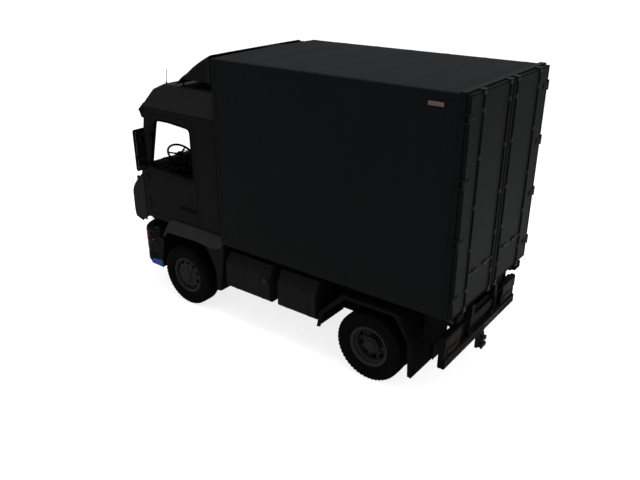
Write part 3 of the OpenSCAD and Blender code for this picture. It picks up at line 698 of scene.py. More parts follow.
def planks(name, colour, pitch):
    """Boards that run along Y, each a little different, with dark joints between them."""
    material, socket, point = new_material(name, Specular_IOR_Level=0.15)
    share = point.axis("X").math("FRACT", point.axis("X") / pitch)
    joint = share.ramp((0, 1), (0.015, 0), (0.985, 0), (1, 1))
    grain = point.stretched(30, 2.2, 30).noise(3, 6, 0.6)
    tread = point.stretched(1, 1, 0).noise(90, 2, 0.5)
    body = grain.mix(shade(colour, 0.7), shade(colour, 1.35))
    feed(socket["Base Color"], joint.mix(body, shade(colour, 0.15)))
    feed(socket["Roughness"], 0.45 + grain * 0.25)
    feed(socket["Normal"], bump(tread * 0.4 - joint * 2, 0.4, 0.002))
    return material


dress("box_floor", planks("floor_boards", (0.075, 0.05, 0.032), 0.25))
liner_finish = enamel("liner_gel_coat", (0.36, 0.36, 0.34), gloss=0.34, dust=0.25, dust_top=3.2)
zinc = wheel_paint("door_gear_zinc", (0.03, 0.031, 0.033), 0.45)
floor_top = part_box("box_floor")[1].z
wall_inner = wall_low.x
liner_ends = (front_high.y + 0.002, rear_low.y - 0.004)
ceiling = wall_high.z - 0.004
bm = bmesh.new()
for side in (-1, 1):
    low_x, high_x = side * (wall_inner - 0.005), side * (wall_inner + 0.001)
    joins = 4
    panel = (liner_ends[1] - liner_ends[0]) / joins
    for k in range(joins):
        start = liner_ends[0] + k * panel
        add_block(bm, (low_x, start + 0.002, floor_top), (high_x, start + panel - 0.002, ceiling))
add_block(bm, (0.006 - wall_inner, front_high.y - 0.001, floor_top),
    (wall_inner - 0.006, front_high.y + 0.005, ceiling))
finish_piece(bm, "box_liners", liner_finish, 0.0012)

slot_pitch = 0.1
bm = bmesh.new()
for side in (-1, 1):
    for z in (floor_top + 0.75, floor_top + 1.55):
        low_x, high_x = side * (wall_inner - 0.014), side * (wall_inner - 0.004)
        add_block(bm, (low_x, liner_ends[0] + 0.05, z - 0.062), (high_x, liner_ends[1] - 0.05, z - 0.02))
        add_block(bm, (low_x, liner_ends[0] + 0.05, z + 0.02), (high_x, liner_ends[1] - 0.05, z + 0.062))
        for k in range(int((liner_ends[1] - liner_ends[0] - 0.1) / slot_pitch)):
            y = liner_ends[0] + 0.05 + k * slot_pitch
            add_block(bm, (low_x, y, z - 0.021), (high_x, y + 0.055, z + 0.021))
finish_piece(bm, "lashing_rails", zinc, 0.0015)


# ---- Load box: marker lamps and buffers ----
# Clear salmon side markers stand in thin black surrounds high at the rear of each wall. Two rubber
# buffers on steel angles guard the sill below the doors.
def lens(name, colour, ribs=700):
    """A moulded lamp lens, smooth outside with fine flutes in its depth."""
    material, socket, point = new_material(name, Roughness=0.35, Specular_IOR_Level=0.03)
    flutes = point.math("SINE", (point.axis("Z") + point.axis("X")) * ribs)
    feed(socket["Base Color"], (flutes * 0.5 + 0.5).mix(shade(colour, 0.75), shade(colour, 1.2)))
    feed(socket["Normal"], bump(flutes, 0.25, 0.0008))
    return material


black_trim = plastic("black_trim", (0.005, 0.005, 0.0053), 0.48)
salmon_lens = lens("marker_lens", (0.235, 0.15, 0.138))
marker_low = (2.685, 4.191)
marker_high = (2.896, 4.244)
lenses = bmesh.new()
surrounds = bmesh.new()
for side in (-1, 1):
    for grow, start, end, target in ((0.012, -0.001, 0.0045, surrounds), (0, 0.004, 0.0085, lenses)):
        low_x, high_x = side * (side_x + start), side * (side_x + end)
        add_block(target, (low_x, marker_low[0] - grow, marker_low[1] - grow),
            (high_x, marker_high[0] + grow, marker_high[1] + grow))
finish_piece(lenses, "side_marker_lenses", salmon_lens, 0.003, segments=3)
finish_piece(surrounds, "side_marker_surrounds", black_trim, 0.002)

frame_face = rear_low.y + 0.085
buffer_end = cad_bounds[1].y - 0.006
brackets = bmesh.new()
buffers = bmesh.new()
for side in (-1, 1):
    x = side * 0.98
    add_block(brackets, (x - 0.11, frame_face - 0.05, box_bottom - 0.115),
        (x + 0.11, frame_face + 0.008, box_bottom + 0.012))
    add_block(buffers, (x - 0.095, frame_face + 0.008, box_bottom - 0.105), (x + 0.095, buffer_end, box_bottom + 0.006))
    for offset in (-0.06, 0.06):
        add_bolt(brackets, (x + offset, buffer_end - 0.004, box_bottom - 0.05), (0, 1, 0), 0.018, 0.005)
finish_piece(brackets, "buffer_brackets", zinc, 0.003)
finish_piece(buffers, "sill_buffers", tyre_rubber, 0.012, segments=3)


# ---- Rear doors ----
# Two full-height plywood doors in the box enamel. Each hangs on four strap hinges, is sealed by a rubber
# lip, and is locked by two bars that turn in bearings when their handles are lifted.
rod_places = (0.11, 0.88)
hinge_places = [box_bottom + 0.3 + k * (box_top - box_bottom - 0.6) / 3 for k in range(4)]
handle_z = box_bottom + 0.52
for side, word in ((1, "left"), (-1, "right")):
    body = word + "_box_door"
    dress(body, box_rear_shaded_paint, 0.003)
    door_low, door_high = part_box("left_box_door")
    face = door_high.y - 0.02
    door_end = side_x - 0.015

    bm = bmesh.new()
    lip = 0.02
    for low, high in (((0.001, door_low.z), (0.001 + lip, door_high.z)),
            ((door_end - lip, door_low.z), (door_end, door_high.z)),
            ((0.001 + lip, door_low.z), (door_end - lip, door_low.z + lip)),
            ((0.001 + lip, door_high.z - lip), (door_end - lip, door_high.z))):
        add_side_block(bm, side, (low[0], face - 0.002, low[1]), (high[0], face + 0.0045, high[1]))
    finish_piece(bm, word + "_door_seal", tyre_rubber, 0.0018, body=body)

    bm = bmesh.new()
    for x in rod_places:
        for level in (0.1, 0.3, 0.5, 0.72, 0.92):
            z = door_low.z + level * (door_high.z - door_low.z)
            add_side_block(bm, side, (x - 0.021, face - 0.001, z - 0.028), (x + 0.021, face + 0.0195, z + 0.028))
            add_side_block(bm, side, (x - 0.052, face - 0.001, z - 0.02), (x + 0.052, face + 0.005, z + 0.02))
            for offset in (-0.038, 0.038):
                add_bolt(bm, (side * (x + offset), face + 0.005, z), (0, 1, 0), 0.015, 0.007)
        reach = 0.3 if x < 0.5 else -0.3
        hasp = x + reach * 0.62
        for x0, y0, z0, x1, y1, z1 in ((x - 0.024, 0.001, door_low.z + 0.045 - 0.05 * 0.8, x + 0.04, 0.019,
                door_low.z + 0.045),
                (x - 0.024, 0.001, door_high.z - 0.045, x + 0.04, 0.019, door_high.z - 0.045 + 0.05 * 0.8),
                (x, 0.006, handle_z - 0.014, x + reach * 0.6, 0.014, handle_z + 0.014),
                (x + reach * 0.55, 0.005, handle_z - 0.02, x + reach, 0.0185, handle_z + 0.02),
                (hasp - 0.03, -0.001, handle_z - 0.052, hasp + 0.03, 0.0045, handle_z + 0.052),
                (hasp - 0.006, 0, handle_z - 0.034, hasp + 0.006, 0.0198, handle_z + 0.034)):
            add_side_block(bm, side, (x0, face + y0, z0), (x1, face + y1, z1))
    for z in hinge_places:
        for offset in (0.135, 0.09, 0.045):
            add_bolt(bm, (side * (side_x - offset), face + 0.008, z), (0, 1, 0), 0.024, 0.009)
    finish_piece(bm, word + "_door_gear", zinc, 0.0025, body=body)

    bm = bmesh.new()
    add_side_block(bm, side, (0.03, face - 0.062, floor_top + 0.08), (side_x - 0.125, face - 0.048, box_top - 0.17))
    finish_piece(bm, word + "_door_liner", liner_finish, 0.004, body=body)

bm = bmesh.new()
for x in (-rod_places[1], -rod_places[0], rod_places[0], rod_places[1]):
    add_block(bm, (x - 0.045, frame_face - 0.002, box_bottom - 0.012), (x + 0.045, face + 0.018, box_bottom + 0.019))
    add_block(bm, (x - 0.045, frame_face - 0.002, box_top - 0.019), (x + 0.045, face + 0.018, box_top - 0.004))
finish_piece(bm, "bar_keepers", zinc, 0.003)

# ---- Chassis frame ----
# Two pressed channel rails with bolted crossmembers, and a subframe of runners and bearers that carries
# the box. Semi-gloss black, dusty, with fixing plates and rows of bolt heads along the webs.
chassis_paint = enamel("chassis_enamel", (0.0055, 0.0055, 0.0058), gloss=0.42, dust=0.8, dust_top=1.7)
for node in ("frame_rails", "crossmembers", "box_subframe"):
    dress(node, chassis_paint, 0.004)
rail_low, rail_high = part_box("frame_rails")
rail_x = rail_high.x
runner_low, runner_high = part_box("box_subframe")
bm = bmesh.new()
plate_pitch = 0.72
for side in (-1, 1):
    y = rail_low.y + 0.1
    while y < rail_high.y - 0.05:
        for z in (rail_low.z + 0.06, rail_high.z - 0.06):
            add_bolt(bm, (side * rail_x, y, z), (side, 0, 0), 0.024, 0.012)
        y += 0.16
    y = runner_low.y + 0.2
    while y < runner_high.y - 0.1:
        low_x, high_x = side * rail_x, side * (rail_x + 0.008)
        add_block(bm, (low_x, y - 0.06, rail_high.z - 0.11), (high_x, y + 0.06, rail_high.z + 0.12))
        for dy in (-0.035, 0.035):
            for z in (rail_high.z - 0.08, rail_high.z - 0.03, rail_high.z + 0.05, rail_high.z + 0.09):
                add_bolt(bm, (side * (rail_x + 0.008), y + dy, z), (side, 0, 0), 0.02, 0.01)
        y += plate_pitch
finish_piece(bm, "frame_plates", chassis_paint, 0.0015)


# ---- Engine, gearbox and shaft ----
# Cast iron lumps under the cab floor, oily and dull, with a ribbed sump, and the tube that drives the
# rear axle, with a yoke at each end.
iron = wheel_paint("engine_casting", (0.02, 0.019, 0.018), 0.7)
dress("engine", iron, 0.02, 3)
dress("prop_shaft", iron, 0.006)
engine_low, engine_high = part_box("engine")

bm = bmesh.new()
add_block(bm, (-0.24, engine_low.y + 0.08, engine_low.z - 0.05), (0.24, engine_low.y + 0.62, engine_low.z + 0.01))
for k in range(7):
    y = engine_low.y + 0.09 + k * 0.14
    for side in (-1, 1):
        low_x, high_x = side * 0.298, side * 0.312
        add_block(bm, (low_x, y, engine_low.z + 0.1), (high_x, y + 0.05, engine_high.z - 0.05))
for side in (-1, 1):
    for k in range(8):
        add_bolt(bm, (side * 0.2, engine_low.y + 0.12 + k * 0.065, engine_low.z - 0.05), (0, 0, -1), 0.018, 0.01)
finish_piece(bm, "sump_and_ribs", iron, 0.008)


# ---- Springs ----
# Packs of seven leaves that bow down to the axles, each clamped by two U-bolts and hung from a bracket at
# either end of its longest leaf.
spring_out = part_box("leaf_springs")[1].x
spring_in = rail_x + 0.003
leaf = 0.01
leaf_pitch = 0.0105
leaf_rise, end_thick, middle_thick = 0.07, 0.034, 0.074
rear_tube_top = axle_z + 0.075
springs = ((front_y, 0.72, axle_z - 0.05), (rear_y, 0.7, rear_tube_top))
leaves = bmesh.new()
clamps = bmesh.new()
for side in (-1, 1):
    for y, half, seat in springs:
        for k in range(7):
            reach = min(1.0, 1 - ((k + 1) * leaf_pitch - end_thick) / (middle_thick - end_thick))
            steps = 20
            outline = []
            for low_edge in (0, 1):
                row = []
                for j in range(steps + 1):
                    share = max(reach, 0.18) * (2 * j / steps - 1)
                    top = end_thick + (middle_thick - end_thick) * (1 - abs(share)) + leaf_rise * share ** 2
                    row.append((y + share * half, seat + top - k * leaf_pitch - leaf * low_edge))
                outline += row if low_edge == 0 else row[::-1]
            narrow = 0.002 * (k % 2)
            add_prism(leaves, outline, side * (spring_in + narrow), side * (spring_out - narrow))
        for s in (-1, 1):
            end = y + s * (half - 0.03)
            add_prism(clamps,
                ((end - 0.045, seat + 0.1), (end + 0.045, seat + 0.1), (end + 0.075, rail_high.z - 0.05),
                (end - 0.075, rail_high.z - 0.05)), side * (rail_x + 0.001), side * (spring_out - 0.005))
            for z in (seat + 0.16, rail_high.z - 0.1):
                add_bolt(clamps, (side * (spring_out - 0.005), end, z), (side, 0, 0), 0.04, 0.014)
            for x in (spring_in - 0.004, spring_out + 0.004):
                clamp_y = y + s * 0.075
                bottom = seat - 0.16 if seat == rear_tube_top else seat - 0.115
                add_tube(clamps, [(side * x, clamp_y, bottom), (side * x, clamp_y, seat + 0.09)], 0.009, 8)
            add_block(clamps, (side * (spring_in - 0.016), y + s * 0.075 - 0.012, seat + 0.08),
                (side * (spring_out + 0.016), y + s * 0.075 + 0.012, seat + 0.098))
        add_block(clamps, (side * (spring_in - 0.012), y - 0.11, seat + 0.07),
            (side * (spring_out + 0.012), y + 0.11, seat + 0.082))
finish_piece(leaves, "spring_leaves", chassis_paint, 0.0012, stands_for=("leaf_springs",))
finish_piece(clamps, "spring_clamps", zinc, 0.002)


# ---- Axles and steering ----
# A forged front beam with swivelling stub axles and a track rod, and a cast rear casing round the final
# drive. Brake chambers hang behind the rear tube.
dress("front_axle", iron, 0.006)
dress("rear_axle", iron)
for node in ("left_knuckle", "right_knuckle", "tie_rod"):
    dress(node, iron, 0.003)
bm = bmesh.new()
for k in range(12):
    turn = 2 * pi * k / 12
    add_bolt(bm, (0.175 * cos(turn), rear_y + 0.16, axle_z + 0.175 * sin(turn)), (0, 1, 0), 0.024, 0.014)
add_turned(bm, [(0.16, 0.155), (0.155, 0.185), (0.1, 0.215), (0.001, 0.222)], (0, rear_y, axle_z), axis="y", steps=40)
for side in (-1, 1):
    add_turned(bm, [(0.02, 0.075), (0.062, 0.09), (0.078, 0.11), (0.078, 0.165), (0.084, 0.168), (0.084, 0.18),
        (0.078, 0.183), (0.075, 0.245), (0.06, 0.265), (0.001, 0.268)], (side * 0.33, rear_y, axle_z + 0.03),
        axis="y", steps=32)
finish_piece(bm, "axle_cover_and_chambers", iron, 0.0)


# ---- Fuel tanks and lockers ----
# Pressed steel boxes with a chamfered upper corner, rolled end seams and two straps each. The first left
# tank has a screw cap; the right side carries tool lockers with flush lids and turn latches.
tank_paint = enamel("tank_enamel", (0.0135, 0.0138, 0.0152), gloss=0.36, dust=0.55, dust_top=1.5)
dress("side_tanks", tank_paint, 0.01, 3)
dress("side_lockers", tank_paint, 0.01, 3)
tank_low, tank_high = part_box("side_tanks")
tank_in = rail_x + 0.105
tank_out = tank_high.x
tank_foot = tank_low.z
tank_top = tank_high.z
chamfer_z = tank_top - 0.198
chamfer_w = 0.115


def tank_section(side, grow):
    """The tank's outline seen from the front, grown all round."""
    return [(side * x, z)
            for x, z in ((tank_in - grow, tank_foot + 0.06 - grow), (tank_in + 0.06, tank_foot - grow),
            (tank_out - 0.05, tank_foot - grow), (tank_out + grow, tank_foot + 0.05 - grow * 0.5),
            (tank_out + grow, chamfer_z + grow * 0.5), (tank_out - chamfer_w + grow * 0.5, tank_top + grow),
            (tank_in - grow, tank_top + grow))]


def tank_hoops(bm, side, start, end):
    """End seams, two straps and their tension bolts on one tank."""
    for y, half, grow in ((start + 0.01, 0.007, 0.004), (end - 0.01, 0.007, 0.004),
            (start + (end - start) * 0.2, 0.022, 0.004), (end - (end - start) * 0.2, 0.022, 0.004)):
        add_prism(bm, tank_section(side, grow), y - half, y + half, across="y")
        if half > 0.01:
            add_bolt(bm, (side * (tank_out + grow), y, tank_foot + 0.1), (side, 0, 0), 0.022, 0.012)


def meeting_points(node, side):
    """Where each box of a pair starts and ends along the frame, read from the node's mesh."""
    ys = sorted({round(vert.co.y, 4) for vert in nodes[node].data.vertices if vert.co.x * side > tank_in + 0.3})
    gaps = sorted(zip(ys, ys[1:]), key=lambda pair: pair[0] - pair[1])
    spans = sorted(gaps[:3])
    return spans[0], spans[-1]


bm = bmesh.new()
for node, side in (("side_tanks", 1), ("side_lockers", -1)):
    for start, end in meeting_points(node, side):
        tank_hoops(bm, side, start, end)
finish_piece(bm, "tank_straps", tank_paint, 0.0015)

first_tank_end = meeting_points("side_tanks", 1)[0][1]
bm = bmesh.new()
add_turned(bm, [(0.04, -0.01), (0.04, 0.014), (0.052, 0.016), (0.054, 0.022), (0.054, 0.04), (0.048, 0.046),
    (0.001, 0.048)], (tank_out, first_tank_end - 0.075, chamfer_z - 0.035), axis="x", steps=32)
add_block(bm, (tank_out + 0.046, first_tank_end - 0.115, chamfer_z - 0.041),
    (tank_out + 0.054, first_tank_end - 0.035, chamfer_z - 0.029))
finish_piece(bm, "filler_cap", zinc, 0.002)

lids = bmesh.new()
latches = bmesh.new()
for start, end in meeting_points("side_lockers", -1):
    add_block(lids, (-tank_out - 0.006, start + 0.04, tank_foot + 0.09),
        (-tank_out + 0.002, end - 0.04, chamfer_z - 0.03))
    for y in (start + 0.16, end - 0.16):
        add_block(latches, (-tank_out - 0.01, y - 0.03, chamfer_z - 0.105),
            (-tank_out - 0.004, y + 0.03, chamfer_z - 0.055))
        add_turned(latches, [(0.016, 0.0), (0.016, -0.01), (0.01, -0.014), (0.001, -0.014)],
            (-tank_out - 0.008, y, chamfer_z - 0.08), axis="x", steps=20)
        add_tube(latches,
            [(-tank_out - 0.006, y - 0.05, tank_foot + 0.088), (-tank_out - 0.006, y + 0.05, tank_foot + 0.088)],
            0.007, 8)
finish_piece(lids, "locker_lids", tank_paint, 0.006, segments=3)
finish_piece(latches, "locker_latches", zinc, 0.0015)


# ---- Rear mudguards ----
# Black moulded arches over each pair of twins: a folded top, a rolled hem on the outer edge and a ribbed
# flap that hangs behind the tyres.
guard_plastic = plastic("guard_plastic", (0.0062, 0.0062, 0.0066), 0.55, 0.3, 0.03, dust=0.2)
dress("rear_mudguards", guard_plastic, 0.006)
guard_low, guard_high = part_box("rear_mudguards")
lamp_low, lamp_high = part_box("tail_lamps")
guard_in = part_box("left_rear_tyres")[0].x - 0.03
guard_line = [(-0.914, 0.585), (-0.862, 0.852), (-0.48, guard_high.z - 0.025), (-0.42, guard_high.z),
    (0.42, guard_high.z), (0.5, guard_high.z - 0.03), (0.715, 0.86), (0.735, 0.33)]
hem = 0.06
hem_inner = [(hem, 0.01), (hem, -0.015), (hem, -hem), (0, -hem), (0, -hem), (-hem, -hem), (-hem, 0), (-hem, 0.01)]
bm = bmesh.new()
for side in (-1, 1):
    outline = moved(rear_y, guard_line)
    outline += [(rear_y + y + dy, z + dz) for (y, z), (dy, dz) in zip(guard_line[::-1], hem_inner[::-1])]
    add_prism(bm, outline, side * (guard_high.x - 0.022), side * (guard_high.x + 0.004))
    rib = 0.37
    while rib < 0.83:
        y = rear_y + 0.715 + (0.86 - rib) / 0.53 * 0.02
        add_block(bm, (side * (guard_in + 0.03), y - 0.002, rib),
            (side * (guard_high.x - 0.04), y + 0.009, rib + 0.016))
        rib += 0.042
    add_block(bm, (side * 0.464, guard_high.y + 0.014, guard_low.z),
        (side * (guard_in + 0.08), guard_high.y + 0.024, 0.95))
    add_block(bm, (side * 0.548, rear_y - 0.5, 0.8), (side * 0.56, guard_high.y - 0.02, 1.4))
    add_block(bm, (side * 0.548, rear_y - 0.955, 0.6), (side * 0.56, rear_y - 0.499, 1.4))
    add_block(bm, (side * 0.98, guard_high.y + 0.02, 0.84), (side * 0.995, lamp_low.y - 0.01, 1.4))
    for x in (0.12, 0.36, 0.6):
        add_block(bm, (side * (guard_in + x), rear_y - 0.4, guard_high.z - 0.002),
            (side * (guard_in + x + 0.03), rear_y + 0.4, guard_high.z + 0.008))
finish_piece(bm, "rear_guard_ribs", guard_plastic, 0.003)


# ---- Underrun beam, tail lamps and coupling ----
# A square tube guards the rear, with rubber end caps, a bare plate on its face and lamp clusters above it.
# The coupling below has a cast jaw, a drawn-out pin and a hand lever.
dress("rear_underrun", chassis_paint, 0.012, 3)
dress("tow_coupling", iron, 0.008, 3)
under_low, under_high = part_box("rear_underrun")
coupling_low, coupling_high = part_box("tow_coupling")
lamp_foot = lamp_low.z
beam_foot = under_low.z
red_lens = lens("tail_lens", (0.013, 0.0016, 0.0015), 420)
amber_lens = lens("turn_lens", (0.016, 0.0065, 0.002), 420)
smoke_lens = lens("reverse_lens", (0.0085, 0.0085, 0.0092), 420)
housing = bmesh.new()
reds, ambers, smokes = bmesh.new(), bmesh.new(), bmesh.new()
lamp_in = lamp_high.x - 0.49
for side in (-1, 1):
    def lamp_block(target, x0, x1, y0, y1, z0, z1):
        add_side_block(target, side, (x0, y0, z0), (x1, y1, z1))
    lamp_block(housing, lamp_in, lamp_high.x, lamp_low.y + 0.004, lamp_high.y - 0.014, lamp_foot, lamp_high.z)
    cells = ((0.015, 0.165, reds), (0.172, 0.322, ambers), (0.329, 0.395, smokes), (0.402, 0.475, reds))
    for start, end, target in cells:
        lamp_block(target, lamp_in + start, lamp_in + end, lamp_high.y - 0.018, lamp_high.y - 0.001, lamp_foot + 0.17,
            lamp_high.z - 0.02)
    lamp_block(reds, lamp_in + 0.1, lamp_in + 0.39, lamp_high.y - 0.018, lamp_high.y - 0.006, lamp_foot + 0.05,
        lamp_foot + 0.12)
    for start, end, _ in cells:
        lamp_block(housing, lamp_in + end, lamp_in + end + 0.007, lamp_high.y - 0.018, lamp_high.y, lamp_foot + 0.16,
            lamp_high.z - 0.01)
finish_piece(housing, "tail_lamp_housings", black_trim, 0.006, segments=3, stands_for=("tail_lamps",))
for bm, name, finish in ((reds, "tail_lenses", red_lens), (ambers, "turn_lenses", amber_lens),
        (smokes, "reverse_lenses", smoke_lens)):
    finish_piece(bm, name, finish, 0.005, segments=3)

bm = bmesh.new()
lamp_back = lamp_low.y + 0.004
add_block(bm, (-0.46, lamp_back - 0.01, 0.76), (0.46, lamp_back, 1.12))
for side in (-1, 1):
    for x0, x1, y0, y1, z0, z1 in ((0.44, 1.185, -0.024, 0.004, 0.76, 1.085), (0.5, 1.185, -0.045, 0.07, 1.08, 1.095),
            (0.5, 0.86, -0.04, -0.012, 1.08, 1.428)):
        add_block(bm, (side * x0, lamp_back + y0, z0), (side * x1, lamp_back + y1, z1))
add_block(bm, (-1.18, lamp_back, 0.565), (-0.9, lamp_back + 0.03, 0.66))
finish_piece(bm, "lamp_carriers", guard_plastic, 0.004)
bm = bmesh.new()
for side in (-1, 1):
    add_block(bm, (side * (under_high.x - 0.03), under_low.y - 0.004, beam_foot - 0.004),
        (side * (under_high.x + 0.006), under_high.y + 0.004, beam_foot + 0.134))
finish_piece(bm, "beam_end_caps", tyre_rubber, 0.012, segments=3)
bare_plate = enamel("bare_plate", (0.045, 0.045, 0.047), gloss=0.5, dust=0.6, dust_top=1.2)
bm = bmesh.new()
add_block(bm, (-0.6, under_high.y - 0.002, beam_foot + 0.008), (-0.075, under_high.y + 0.006, beam_foot + 0.122))
finish_piece(bm, "bare_plate", bare_plate, 0.003)
bm = bmesh.new()
pin_y = coupling_high.y - 0.04
jaw_z = coupling_low.z + 0.08
add_turned(bm, [(0.001, -0.135), (0.017, -0.132), (0.019, -0.125), (0.019, 0.1), (0.03, 0.102), (0.03, 0.118),
    (0.001, 0.122)], (0, pin_y, jaw_z), axis="z", steps=28)
add_tube(bm, [(0.0, pin_y - 0.03, jaw_z + 0.085), (0.1, pin_y - 0.05, jaw_z + 0.1), (0.2, pin_y - 0.06, jaw_z + 0.12),
    (0.25, pin_y - 0.06, jaw_z + 0.125)], 0.009, 10)
for x in (-0.085, 0.085):
    for z in (jaw_z - 0.06, jaw_z + 0.095):
        add_bolt(bm, (x, coupling_high.y - 0.065, z), (0, 1, 0), 0.026, 0.014)
finish_piece(bm, "coupling_pin_and_lever", zinc, 0.0)

# ---- Cab shell ----
# Pressed steel cab in the same charcoal as the box but warmer and glossier. The roof is one deep pressing
# with rolled corners, seated on a black gutter seal, with a hatch and a whip aerial. The roof is painted in a much
# lighter copy of the cab enamel: painted light on its top and sloped sides.
cab_paint = enamel("cab_enamel", (0.0092, 0.0093, 0.0097), gloss=0.34, dust=0.45, dust_top=2.3, peel=0.03)
for node, edge in (("cab_sides", 0.005), ("cab_rear_wall", 0.012), ("cab_floor", 0.006)):
    dress(node, cab_paint, edge)
# A much lighter copy of the cab enamel: painted light for the roof and the corner panels.
cab_lit_paint = enamel("cab_lit_enamel", (0.0235, 0.0235, 0.0245), gloss=0.42, dust=0.1, dust_top=9, peel=0.03)
dress("sun_visor", cab_paint, 0.006)
nose_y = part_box("cab_front_panel")[0].y
cab_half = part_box("cab_front_panel")[1].x
cab_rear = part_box("cab_rear_wall")[1].y
eaves_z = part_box("cab_roof")[0].z
roof_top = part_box("cab_roof")[1].z
hinge_y = nose_y + 0.545
door_rear = hinge_y + 1.19
shell_y = hinge_y - 0.03


def rounded(path, reach, steps=4, closed=False):
    """The same polyline with every corner turned into a short curve."""
    count = len(path)
    result = []
    for i, point in enumerate(path):
        if not closed and i in (0, count - 1):
            result.append(tuple(point))
            continue
        corner = Vector(point)
        before, after = Vector(path[i - 1]) - corner, Vector(path[(i + 1) % count]) - corner
        start = corner + before.normalized() * min(reach, before.length * 0.45)
        end = corner + after.normalized() * min(reach, after.length * 0.45)
        for k in range(steps + 1):
            t = k / steps
            result.append(tuple(start * (1 - t) ** 2 + corner * 2 * t * (1 - t) + end * t ** 2))
    return result


def rounded_box(y0, y1, z0, z1, reach):
    """A closed rectangle with rounded corners."""
    return rounded([(y0, z0), (y1, z0), (y1, z1), (y0, z1)], reach, 4, closed=True)


def add_hull(bm, points):
    """The convex solid round a set of points."""
    made = bmesh.ops.convex_hull(bm, input=[bm.verts.new(point) for point in points])
    spare = {item for item in made["geom_interior"] + made["geom_unused"] if isinstance(item, bmesh.types.BMVert)}
    bmesh.ops.delete(bm, geom=list(spare), context="VERTS")


def merge_flat(bm):
    """Turns a hull's triangles back into whole faces."""
    bmesh.ops.dissolve_limit(bm, angle_limit=radians(1.5), verts=bm.verts, edges=bm.edges)


chamfer_foot = roof_top - 0.13


roof_profile = [(nose_y + 0.565, eaves_z), (nose_y + 0.58, eaves_z + 0.04), (nose_y + 0.8095, chamfer_foot),
    (nose_y + 0.826, roof_top - 0.112), (nose_y + 1.085, roof_top), (cab_rear - 0.02, roof_top),
    (cab_rear, roof_top - 0.03), (cab_rear, chamfer_foot), (cab_rear, eaves_z)]
bm = bmesh.new()
add_hull(bm, [(side * (cab_half - 0.07 * (z - eaves_z) / (roof_top - eaves_z)), y, z) for y, z in roof_profile
    for side in (-1, 1)])
merge_flat(bm)
weights = bm.edges.layers.float.new("bevel_weight_edge")
for rim in bm.edges:
    if max(vert.co.z for vert in rim.verts) > eaves_z + 0.001:
        rim[weights] = 1.0
roof = finish_piece(bm, "cab_roof_cap", cab_lit_paint, 0.045, stands_for=("cab_roof",), segments=5,
    body="cab")
roof.modifiers["arris"].limit_method = "WEIGHT"

bm = bmesh.new()
for side in (-1, 1):
    add_block(bm, (side * (cab_half - 0.004), nose_y + 0.6, eaves_z - 0.006),
        (side * (cab_half + 0.003), cab_rear - 0.01, eaves_z + 0.006))
add_block(bm, (-0.38, nose_y + 1.18, roof_top - 0.004), (0.38, nose_y + 1.4, roof_top + 0.01))
for side in (-1, 1):
    add_prism(bm, ((nose_y + 0.46, 3.345), (nose_y + 0.512, 3.224), (nose_y + 0.64, 3.215), (nose_y + 0.64, eaves_z),
        (nose_y + 0.59, eaves_z + 0.05)), side * (cab_half - 0.075), side * (cab_half - 0.012))
finish_piece(bm, "gutter_and_hatch", black_trim, 0.003, body="cab")

bm = bmesh.new()
mast_foot = Vector((1.045, nose_y + 1.12, roof_top - 0.016))
add_turned(bm, [(0.03, 0.0), (0.028, 0.012), (0.014, 0.026), (0.009, 0.05), (0.001, 0.052)], mast_foot, axis="z",
    steps=20)
add_tube(bm, [mast_foot + Vector((0, 0, 0.03)), mast_foot + Vector((0, 0.01, 0.12)),
    mast_foot + Vector((0, 0.03, 0.245))], 0.0045, 8)
finish_piece(bm, "whip_aerial", black_trim, body="cab")


# ---- Front panel and grille ----
# A one-piece front pressing wraps round to the doors and leans back to a ledge below the screen. Its
# opening holds a black louvred grille on a mesh back.
def add_grid(bm, rows, skip=lambda point: False):
    """An open sheet over rows of points, with a hole wherever a face's middle is skipped."""
    made = [[bm.verts.new(point) for point in row] for row in rows]
    for upper, lower in zip(made, made[1:]):
        for j in range(len(upper) - 1):
            corners = (upper[j], upper[j + 1], lower[j + 1], lower[j])
            centre = sum((vert.co for vert in corners), Vector()) / 4
            if not skip(centre):
                bm.faces.new(corners)
    for vert in [vert for vert in bm.verts if not vert.link_faces]:
        bm.verts.remove(vert)


def thicken(bm, thickness):
    """Gives an open sheet a thickness on its inner side."""
    bm.normal_update()
    heart = sum((vert.co for vert in bm.verts), Vector()) / len(bm.verts)
    facing = sum(vert.normal.dot(vert.co - heart) for vert in bm.verts)
    shift = -thickness if facing > 0 else thickness
    faces, rims = list(bm.faces), [edge for edge in bm.edges if edge.is_boundary]
    inner = {vert: bm.verts.new(vert.co + vert.normal * shift) for vert in list(bm.verts)}
    for face in faces:
        bm.faces.new([inner[vert] for vert in reversed(face.verts)])
    for rim in rims:
        a, b = rim.verts
        bm.faces.new((a, b, inner[b], inner[a]))


nose_line = rounded([(0.19, 1.3), (0.03, 1.33), (0.000, 1.45), (0.005, 1.85), (0.06, 1.96), (0.2, 2.12),
    (0.33, 2.23)], 0.06)
nose_columns = (0, 0.31, 0.62, 0.8, 0.94, 1.02, 1.07, 1.1, 1.125, 1.142, 1.15)


def nose_row(depth, z, end):
    """A row across the front from one side's rear edge to the other's."""
    half = [(x, nose_y + depth + 0.09 * (x / cab_half) ** 12, z) for x in nose_columns]
    start = half[-1][1]
    half += [(cab_half, start + (end - start) * share, z) for share in (0.33, 0.67, 1.0)]
    return [(-x, y, z) for x, y, z in reversed(half[1:])] + half


def band(low, high):
    """The nose line between two heights, with points of its own at both."""
    heights = [z for _, z in nose_line]
    depths = [depth for depth, _ in nose_line]
    inside = [z for z in heights if low + 0.004 < z < high - 0.004]
    return [(float(np.interp(z, heights, depths)), z) for z in [low] + inside + [high]]


